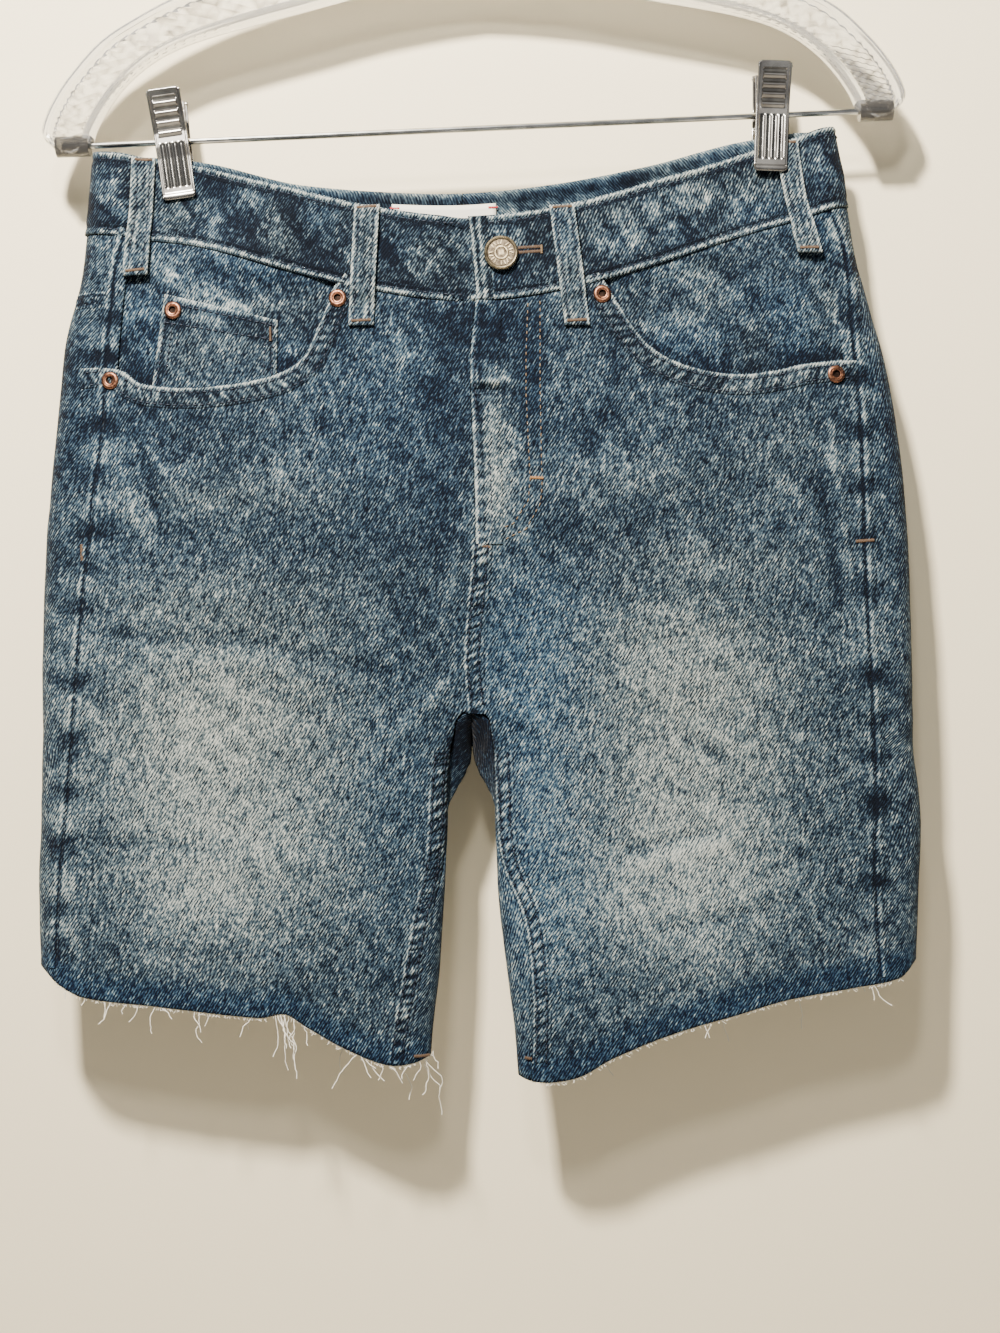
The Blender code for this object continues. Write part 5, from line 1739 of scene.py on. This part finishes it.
def strip(name, line, face, start, end, cells, lift_at, wash_at, calm=1.0):
    """A strip along a line from start to end mm on its left. lift_at and wash_at read (s, w)."""
    line = dense(line, STEP)
    way = heading(line)
    w = np.linspace(start, end, cells + 1)
    x = line[:, :1] - way[:, 1:] * w
    z = line[:, 1:] + way[:, :1] * w
    s = np.arange(len(line))[:, None] * STEP + 0 * w
    w = w + 0 * s
    points = form_at(x, z, face)
    normals = grid_normals(points, False)
    flipped = (normals[..., 1] * face).mean() < 0
    normals = -normals if flipped else normals
    lift = relief(x, z, points[..., 1]) * calm + lift_at(s, w, x, z)
    lift[:, 0] -= 0.7
    lift[:, -1] -= 0.7
    shaped = points + normals * lift[..., None]
    wash, tint = washed(x, z, points[..., 1])
    change, tinge = wash_at(s, w, x, z)
    return cloth(name, shaped, 0, flipped, wash + change, tint + tinge, (denim,))


def hem_profile(w, rows, width):
    """Height of a doubled hem: rounded at w = 0, a trough at each row, an edge at width."""
    height = 0.75 * np.sqrt(np.clip(1 - (1 - np.clip(w / 1.3, 0, 1)) ** 2, 0, 1)) - 0.45
    for row in rows:
        height = height - 0.35 * bell(w - row, 0.8)
    return height - 0.35 * ramp(width - 1.2, width, w)


for side in (LEFT, RIGHT):
    line = POCKET_LINE[side]
    sign = 1 if side == RIGHT else -1
    reach = -11.0 if side == RIGHT else 11.0
    seed = 60 + side

    def lift_at(s, w, x, z, seed=seed):
        w = np.abs(w)
        bumps = puckers(s + w * 0.5, seed) * bell(w - 5.5, 4.5)
        return hem_profile(w, (2.6, 8.8), 11.0) + 0.3 + 0.38 * bumps

    def wash_at(s, w, x, z, seed=seed):
        w = np.abs(w)
        bumps = puckers(s + w * 0.5, seed)
        # Pale rolled edge and puckers; darker troughs under the two rows of stitches, as less rubbed indigo
        # and painted shade, and a painted shadow just past the hem's edge.
        change = 0.04 + 0.50 * bell(w - 0.7, 1.2) - 0.16 * bell(w - 2.9, 0.8) - 0.16 * bell(w - 8.8, 0.8)
        change = change + 0.34 * bumps * bell(w - 5.5, 4.0) - 0.34 * bell(w - 11.4, 1.2)
        return change, -0.2

    strip(f"pocket_hem_{SIDE_NAMES[side]}", line, FRONT, 0.0, reach, 16, lift_at, wash_at)

# Side seams: a ridge on the back panel's side, a groove, and the front panel's edge
for side in (LEFT, RIGHT):
    line = SIDE_LINE[side]
    outer_hem, inner_hem = hem_line(side, line[:, 0] - 6), hem_line(side, line[:, 0] + 6)
    line = line[line[:, 1] > np.maximum(outer_hem, inner_hem) + 1.0]
    seed = 70 + side

    def lift_at(s, w, x, z, side=side, seed=seed):
        w = w * side
        ridge = 0.55 * bell(w - 1.6, 1.3) - 0.35 * bell(w + 0.5, 0.6)
        return 0.25 + ridge + 0.25 * puckers(s, seed) * bell(w - 2, 3) - 0.25 * ramp(4.0, 6.0, np.abs(w))

    def wash_at(s, w, x, z, side=side, seed=seed):
        w = w * side
        bumps = puckers(s, seed, 4.0)
        dips = np.minimum(gathered(side, x, z, 9.0), 1)
        # The back panel's ridge rubs pale, less so in the gathers' dips; the groove between the panels is
        # painted dark as shade.
        change = (0.30 + 0.22 * bumps) * bell(w - 1.5, 1.2) * (1 - 0.8 * dips)
        change = change - 0.50 * bell(w + 0.5, 0.8) + 0.16 * bell(w + 2.6, 1.4) * (1 - dips)
        return change, 0.0

    strip(f"side_seam_{SIDE_NAMES[side]}", line, FRONT, -6.0, 6.0, 20, lift_at, wash_at)

# The felled crotch seam and the two inseams
CROTCH = dense([(x + 3.2, z) for x, z in CENTRE_LINE if z < -396] + [(1.0, -481.0)], 1.0)


def felled(seed, half):
    def lift_at(s, w, x, z):
        flat = 0.45 - 0.45 * ramp(half - 0.8, half + 0.8, np.abs(w))
        flat = flat + 0.60 * puckers(s + 0.5 * w, seed, 3.4) * bell(w, half)
        return flat - 0.3 * bell(np.abs(w) - half * 0.62, 0.7)

    def wash_at(s, w, x, z):
        bumps = puckers(s + 0.5 * w, seed, 3.4)
        # Puckers rub pale and dark; the troughs under the stitches are darker, as less rubbed indigo and
        # painted shade, and a painted shadow lies just past each edge.
        change = -0.02 + 0.50 * bumps * bell(w, half * 0.8) - 0.34 * bell(np.abs(w) - half * 0.62, 0.7)
        change = change + 0.42 * bell(w + half * 0.95, 0.7) + 0.20 * bell(w - half * 0.95, 0.6)
        return change - 0.3 * bell(np.abs(w) - half - 1.2, 0.7), -0.1

    return lift_at, wash_at


strip("crotch_seam", CROTCH, FRONT, -6.0, 6.0, 20, *felled(80, 4.4))
for side in (LEFT, RIGHT):
    line = INSEAM_LINE[side] + np.array([side * 4.6, 0.0])
    line = line[line[:, 1] < -500]
    line = line[line[:, 1] > hem_line(side, line[-1, 0]) + 0.6]
    strip(f"inseam_{SIDE_NAMES[side]}", line, FRONT, -5.6, 5.6, 18, *felled(84 + side, 4.0))

# The fly's folded edge, from the waistband to the top of the crotch seam
FLY_EDGE = dense([(x, z) for x, z in CENTRE_LINE if z > -399], 1.0)


def fly_lift(s, w, x, z):
    edge = hem_profile(w, (), 14.0) + 0.5
    fold = 0.9 * bell(z + 318 + 0.10 * w, 1.6) - 0.9 * bell(z + 323 + 0.08 * w, 2.0)
    small = 0.35 * puckers(s, 90, 4.0) * bell(w - 3, 4)
    return edge + fold + small


def fly_wash(s, w, x, z):
    change = 0.55 * bell(w - 0.6, 0.9) + 0.24 * puckers(s, 90, 4.0) * bell(w - 3, 4)
    # The fold across the fly is painted: a highlight on its ridge and shade in its trough.
    change = change - 0.40 * bell(z + 323 + 0.08 * w, 1.6) + 0.25 * bell(z + 318 + 0.10 * w, 1.4)
    return change - 0.26 * bell(w - 4.4, 0.7), 0.0


strip("fly_edge", FLY_EDGE, FRONT, 0.0, 14.0, 22, fly_lift, fly_wash)

# The waistband's rolled edges and the folded end of its overlap


def band_edge(name, face, start, end, down, seed, reach):
    def height(x):
        return band_top(x, face) - down

    def lift_at(s, w, x, z):
        y = np.full_like(x, 5.0 * face)
        crinkle = band_relief(x, z, y) - relief(x, z, y)
        roll = 0.55 * np.sqrt(np.clip(1 - (1 - np.clip(np.abs(w) / 1.3, 0, 1)) ** 2, 0, 1)) - 0.3
        return BAND_PROUD + crinkle + roll - 0.3 * bell(np.abs(w) - 3.0, 0.8) + 0.2 * puckers(s, seed)

    def wash_at(s, w, x, z):
        w = np.abs(w)
        y = np.full_like(x, 5.0 * face)
        base = band_washed(x, z, y)[0] - washed(x, z, y)[0]
        fading = 1 - ramp(4.0, 5.4, w)
        # A pale rolled edge, and painted shade in the trough beside it.
        change = 0.38 * bell(w - 1.0, 1.3) - 0.20 * bell(w - 4.2, 0.9)
        change = change + 0.24 * puckers(s, seed) * bell(w - 1, 2)
        return base + change * fading, -0.2

    strip(name, row_line(height, start, end), face, 0.0, reach, 9, lift_at, wash_at)


for name, face, start, end in (
    ("band_front_left", FRONT, -181.0, -12.0),
    ("band_front_right", FRONT, 2.0, 184.0),
    ("band_back", BACK, -184.0, 184.0),
):
    band_edge(f"{name}_top", face, start, end, 0.1, 104, -5.6)
    band_edge(f"{name}_bottom", face, start, end, BAND_HEIGHT - 0.1, 106, 5.6)

END_LINE = [(mix(1.5, 4.7, t), float(band_top(2.0, FRONT)) - 0.6 - 40.2 * t) for t in (0, 0.5, 1)]


def end_lift(s, w, x, z):
    return BAND_PROUD + hem_profile(w, (3.2, 6.6), 9.0) + 0.35 + 0.25 * puckers(s, 108) * bell(w - 5, 4)


def end_wash(s, w, x, z):
    # Pale folded edge and rib between the rows; painted shade in the troughs at the two rows of stitches.
    change = 0.48 * bell(w - 0.8, 1.1) - 0.30 * bell(w - 2.6, 0.7) + 0.34 * bell(w - 4.6, 1.0)
    return change - 0.36 * bell(w - 7.0, 0.8) + 0.04 + 0.15 * puckers(s, 108), -0.3


strip("band_end", END_LINE, FRONT, 0.0, 9.0, 14, end_lift, end_wash)

# Felled yoke seams at the sides, where the yoke meets the back panel in front
for side in (LEFT, RIGHT):
    near, far = side_seam(side, YOKE_SIDE[side]), outer_fold(side, YOKE_SIDE[side]) - side * 1.5
    line = [(near, YOKE_SIDE[side]), (far, YOKE_SIDE[side])]
    strip(f"yoke_side_{SIDE_NAMES[side]}", line, FRONT, -5.0, 5.0, 14, *felled(94 + side, 3.6))

    def across_back(x, side=side):
        return yoke_line(side, x)

    line = row_line(across_back, outer_fold(side, -270) - side * 11, centre(-478) + side * 0.6)
    strip(f"yoke_seam_{SIDE_NAMES[side]}", line, BACK, -5.0, 5.0, 14, *felled(98 + side, 3.6))
SEAT = dense([(-2.0, z) for z in np.linspace(-262, -498, 100)], 1.0)
strip("seat_seam", SEAT, BACK, -5.2, 5.2, 16, *felled(101, 3.8))
print("strips done")

# %% [markdown]
# ## Stitches
#
# Every stitch is a small bead of thread lying along its row. One bead has only twenty faces, so
# thousands are cheap. Most thread is navy; the fly's curve and the bar tacks are tan and brown.

# %% Stitches
THREAD_COLORS = {
    "navy": (0.010, 0.016, 0.030),
    "slate": (0.060, 0.080, 0.095),
    "tan": (0.17, 0.115, 0.065),
    "brown": (0.10, 0.058, 0.032),
    "orange": (0.30, 0.15, 0.055),
    "cream": (0.55, 0.50, 0.38),
    "red": (0.45, 0.03, 0.04),
}
thread = {}
for name, color in THREAD_COLORS.items():
    thread[name], tree, shader = new_material(f"thread_{name}")
    shader.inputs["Base Color"].default_value = (*color, 1)
    shader.inputs["Roughness"].default_value = 0.7
sewn = {name: [] for name in THREAD_COLORS}


def surface(x, z, face, out):
    """Points on the dressed cloth, with the outward normal at each."""
    x, z = np.atleast_1d(np.asarray(x, float)), np.atleast_1d(np.asarray(z, float))
    here = form_at(x, z, face)
    along_x = form_at(x + 1, z, face) - form_at(x - 1, z, face)
    along_z = form_at(x, z + 1, face) - form_at(x, z - 1, face)
    normal = np.cross(along_x, along_z)
    normal = normal * np.sign(normal[:, 1:2] * face)
    normal = normal / np.linalg.norm(normal, axis=1, keepdims=True)
    return here, normal, relief(x, z, here[:, 1]) + out


def sew(color, line, face=FRONT, out=0.0, pitch=3.4, length=2.5, wide=0.85, lift=None):
    """A row of stitches along a line."""
    line = dense(line, pitch / 2)
    here, normal, rise = surface(line[:, 0], line[:, 1], face, out)
    if lift is not None:
        rise = rise + lift(line[:, 0], line[:, 1])
    points = here + normal * rise[:, None]
    for i in range(1, len(points) - 1, 2):
        ahead = Vector(points[i + 1] - points[i - 1]).normalized()
        up = Vector(normal[i])
        aside = up.cross(ahead).normalized()
        up = ahead.cross(aside)
        size = (length * chance.uniform(0.9, 1.08), wide * chance.uniform(0.85, 1.15), 0.55)
        turn = Matrix((ahead * size[0], aside * size[1], up * size[2])).transposed().to_4x4()
        sewn[color].append(Matrix.Translation(Vector(points[i])) @ turn)


def bar_tack(color, x1, z1, x2, z2, out, wide=1.6, face=FRONT):
    """A dense zigzag of thread from one place to another."""
    line = dense([(x1, z1), (x2, z2)], 0.42)
    way = heading(line)[0]
    for i in range(len(line)):
        x, z = line[i]
        ends = [(x - way[1] * wide / 2 * k, z + way[0] * wide / 2 * k) for k in (-1, 0, 1)]
        sew(color, ends, face, out, pitch=wide, length=wide * 1.1, wide=0.5)


def beside(line, offset):
    line = dense(line, 1.0)
    way = heading(line)
    return line + np.stack([-way[:, 1], way[:, 0]], axis=1) * offset


def part_of(line, low, high):
    line = np.asarray(line)
    return line[(line[:, 1] > low) & (line[:, 1] < high)]


for side in (LEFT, RIGHT):
    reach = -1 if side == RIGHT else 1
    for offset in (2.6, 8.8):
        sew("navy", beside(POCKET_LINE[side], reach * offset)[3:-2], FRONT, 0.5)
    for offset in (2.3, -2.6):
        row = beside(INSEAM_LINE[side] + np.array([side * 4.6, 0.0]), offset)
        sew("navy", part_of(row, -650 if side == LEFT else -660, -500), FRONT, 0.55)
    for offset in (2.4, -2.4):
        end = outer_fold(side, -270) - side * 11
        line = row_line(lambda x, s=side: yoke_line(s, x), end, -2.0 + side * 3)
        sew("slate", beside(line, offset), BACK, 0.65)
for offset in (2.7, -2.7):
    sew("navy", part_of(beside(CROTCH, offset), -478, -398), FRONT, 0.6)
    sew("slate", beside(SEAT, offset), BACK, 0.65)

# The waistband's two rows, in front and behind
for face, ends in ((FRONT, (-181, 0)), (FRONT, (4, 183)), (BACK, (-183, -3)), (BACK, (0, 183))):
    for down in (3.4, 38.6):
        def height(x, face=face, down=down):
            return band_top(x, face) - down

        def lift(x, z, face=face):
            return band_relief(x, z, np.full_like(x, 5.0 * face)) - relief(x, z, np.full_like(x, 5.0 * face))

        sew("navy", row_line(height, *ends), face, BAND_PROUD + 0.15, lift=lift)
sew("navy", [(3.6 + 0.07 * t, band_top(3.6, FRONT) - 3.4 - t) for t in (0, 12, 24, 35)], FRONT, 1.0)

# Coin pocket: two rows along its hem and one down each side
hem = [coin_place(np.array(u), np.array(0.075)) for u in (0.03, 0.97)]
sew("navy", hem, FRONT, -1.3)
sew("navy", [coin_place(np.array(u), np.array(0.26)) for u in (0.03, 0.97)], FRONT, -1.3)
for u in (0.035, 0.10, 0.90, 0.965):
    sew("navy", [coin_place(np.array(u), np.array(v)) for v in (0.04, 0.99)], FRONT, -1.3)

# The fly's curve, its edge rows, the box at the foot and the bar tacks
J_INNER = (
    (29.7, -280), (28.3, -305), (27.9, -324.5), (29.1, -366.5), (28.0, -377), (21, -388),
    (10, -392.5), (2.5, -393.5),
)  # fmt: skip
J_OUTER = (
    (35.6, -279), (34.8, -324.6), (34.9, -371), (33.7, -379), (26.7, -391), (14.9, -396.6),
    (2.5, -398.5),
)  # fmt: skip
sew("tan", J_INNER, FRONT, 0.15, length=2.3, wide=0.65)
sew("tan", J_OUTER, FRONT, 0.15, length=2.3, wide=0.65)
sew("navy", beside(FLY_EDGE, 2.2)[6:], FRONT, 0.8)
sew("navy", beside(FLY_EDGE, 8.0)[80:], FRONT, 0.8)
bar_tack("orange", 29.4, -366.0, 35.4, -366.4, 0.3)
bar_tack("orange", 3.4, -392.0, 8.6, -393.5, 0.4)
bar_tack("brown", 3.2, -398.5, 9.0, -399.5, 0.5)
bar_tack("brown", *(-192.8, -394), *(-192.6, -402), 0.6, 1.8)
bar_tack("brown", 189.5, -399.5, 198.5, -399.0, 0.6, 1.8)
bar_tack("brown", -33.5, -650.0, -26.5, -650.4, 0.9, 1.8)
bar_tack("brown", 22.0, -652.0, 25.0, -652.4, 0.9, 1.8)
bar_tack("brown", -97.0, -289.5, -97.0, -296.0, -1.0, 1.4)

# Buttonhole: a keyhole row beside the button
for x in np.linspace(25.5, 36.5, 22):
    z = -254.6 + 0.05 * (x - 30)
    for half in (-1.15, 1.15):
        end = [(x, z + half - 0.9), (x, z + half), (x, z + half + 0.9)]
        sew("brown", end, FRONT, BAND_PROUD + 0.3, pitch=1.8, length=2.0, wide=0.5)
bar_tack("tan", 36.8, -256.4, 36.8, -252.6, BAND_PROUD + 0.4, 1.4)

# Loops: a row down each edge and a bar tack at each end
for name, face, top, bottom, length in LOOPS:
    for share in (-0.30, 0.30):
        line = []
        for v in np.linspace(0.03, 0.97, 24):
            middle = mix(top, bottom, v)
            line.append((middle + share * LOOP_WIDTH, float(band_top(middle, face)) - 0.6 - length * v))

        def lift(x, z, face=face, top=top, bottom=bottom, length=length):
            past_band = 1 - ramp(band_seam(x, face) - 7.0, band_seam(x, face) - 2.0, z)
            down = np.clip((band_top(x, face) - z) / length, 0, 1)
            arch = LOOP_LIFT * np.sin(math.pi * down)
            return mix(BAND_PROUD + 0.9 + arch, 0.6, past_band) + LOOP_THICK - 0.15

        sew("navy", line, face, 0.0, lift=lift, wide=0.75)
    for v, out in ((0.02, BAND_PROUD + 2.4), (0.965, 2.2)):
        middle = mix(top, bottom, v)
        z = float(band_top(middle, face)) - 0.6 - length * v
        bar_tack("brown", middle - 4.6, z, middle + 4.6, z + 0.4, out, 1.7, face)

# Back pockets: two rows round each, a plain hem on top
for side in (LEFT, RIGHT):
    for inset in (2.0, 7.5):
        outline = []
        for u, v in ((0, 0), (0, 1), (0.5, 1), (1, 1), (1, 0)):
            width = mix(126.0, 114.0, v) - 2 * inset
            point = 18.0 * (1 - abs(2 * u - 1))
            x = side * 101.0 + (u - 0.5) * width
            outline.append((x, -322.0 - (122.0 + point) * v + (inset if v else -0.5)))
        sew("slate", outline, BACK, PANEL + LAY_GAP + 0.2)
    for down in (1.8, 13.0):
        row = [(side * 101 - 61, -322 - down), (side * 101 + 61, -322 - down)]
        sew("slate", row, BACK, PANEL + LAY_GAP + 0.2)

# Label tacks: a bar of red thread near each of its top corners
for x in (-36.5, 13.5):
    z = float(band_top(x, BACK)) - 8.0
    bar_tack("red", x - 2.2, z, x + 2.2, z, -3.1, 1.3, BACK)

for color, places in sewn.items():
    if not places:
        continue
    beads = bmesh.new()
    for place in places:
        bmesh.ops.create_icosphere(beads, subdivisions=1, radius=0.5, matrix=place)
    beads.transform(Matrix.Scale(MM, 4))
    finished(f"stitches_{color}", beads, (thread[color],), (), 180)
print("stitches:", sum(len(places) for places in sewn.values()))

# %% [markdown]
# ## Cut hems
#
# The legs were cut off and never hemmed, so pale weft ends stand along the edge and a few long
# threads hang down in bunches. Each thread is a thin curve that droops and kinks a little.

# %% Frayed edge and loose threads
fray_thread, tree, shader = new_material("fray_thread")
shader.inputs["Base Color"].default_value = (0.80, 0.76, 0.66, 1)
shader.inputs["Roughness"].default_value = 0.8


def thread_curve(name, lines, radius, material):
    data = bpy.data.curves.new(name, "CURVE")
    data.dimensions = "3D"
    data.bevel_depth = radius * MM
    data.bevel_resolution = 0
    for line in lines:
        spline = data.splines.new("POLY")
        spline.points.add(len(line) - 1)
        for spot, point in zip(spline.points, line):
            spot.co = (*(Vector(point) * MM), 1)
    data.materials.append(material)
    made = bpy.data.objects.new(name, data)
    bpy.context.scene.collection.objects.link(made)
    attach(made, "root")
    return made


def hanging(x, z, face, length, sway, seed, curl=1.0):
    """A loose thread that starts at the hem and droops."""
    wander = np.random.default_rng(seed)
    start, normal, rise = surface(x, z + 0.6, face, -0.5)
    point = Vector(start[0] + normal[0] * rise[0])
    way = Vector((sway * 0.6, face * -0.1, -1)).normalized()
    line = [point.copy()]
    steps = max(int(length / 1.6), 3)
    for i in range(steps):
        drift = Vector((wander.normal(0, 0.28 * curl), wander.normal(0, 0.12), 0))
        way = (way * 0.8 + drift + Vector((sway * 0.12, 0, -0.18))).normalized()
        point = point + way * (length / steps)
        line.append(point.copy())
    return line


whiskers = []
for side in (LEFT, RIGHT):
    for face in (FRONT, BACK):
        spots = chance.uniform(24, 214, 260) * side
        for x in spots:
            z = float(hem_line(side, x))
            start, normal, rise = surface(x, z + 0.5, face, -0.6)
            point = Vector(start[0] + normal[0] * rise[0])
            reach = chance.uniform(0.9, 2.6)
            lean = chance.normal(0, 0.5)
            middle = point + Vector((lean * reach * 0.4, 0, -reach * 0.6))
            end = middle + Vector((lean * reach * 0.6 + chance.normal(0, 0.4), 0, -reach * 0.4))
            whiskers.append([point, middle, end])
thread_curve("hem_whiskers", whiskers, 0.13, fray_thread)

# Long threads: x on the hem, length, sway, curl
LONG_THREADS = (
    (-186, 9, 0.3, 1.2), (-183, 13, -0.2, 1.0), (-176, 7, 0.6, 1.6), (-169, 11, 0.2, 1.0),
    (-160, 15, -0.3, 1.2), (-158, 9, 0.4, 1.4), (-141, 12, 0.3, 1.0), (-139, 18, 0.1, 0.9),
    (-134, 8, -0.4, 1.3), (-113, 12, 0.4, 1.5), (-101, 22, -0.3, 0.8), (-99, 30, 0.1, 0.7),
    (-97, 34, -0.1, 0.8), (-95, 18, 0.3, 1.0), (-92, 26, 0.15, 0.9), (-88, 12, 0.5, 1.2),
    (-61, 22, -0.8, 0.7), (-57, 8, 0.6, 1.6), (-55, 14, 0.3, 1.2), (-50, 10, -0.4, 1.4),
    (-47, 13, 0.5, 1.3), (-36, 9, -0.3, 1.0), (-31, 12, 0.3, 1.2), (-28, 35, 0.05, 0.7),
    (-26, 22, -0.15, 0.8), (-24, 10, 0.5, 1.4), (-196, 5, -0.5, 1.4), (-206, 6, 0.4, 1.6),
    (110, 8, 0.3, 1.2), (113, 9, -0.3, 1.0), (40, 3, 0.2, 1.0), (192, 9, 0.9, 1.2),
    (194, 15, 1.3, 0.8), (203, 6, -0.8, 1.4), (168, 4, 0.5, 1.5),
)  # fmt: skip
loose = []
for index, (x, length, sway, curl) in enumerate(LONG_THREADS):
    side = LEFT if x < 0 else RIGHT
    loose.append(hanging(float(x), float(hem_line(side, x)), FRONT, length, sway, 300 + index, curl))
    if length > 20:
        foot = float(hem_line(side, x))
        loose.append(hanging(x + 0.8, foot, FRONT, length * 0.6, -sway, 400 + index, curl * 1.4))
for index, x in enumerate((-150, -120, -70, -40, 30, 60, 120, 160, 190)):
    side = LEFT if x < 0 else RIGHT
    loose.append(hanging(float(x), float(hem_line(side, x)), BACK, 8 + index % 4 * 5, 0.2, 500 + index))
thread_curve("loose_threads", loose, 0.25, fray_thread)
print("threads:", len(whiskers) + len(loose))
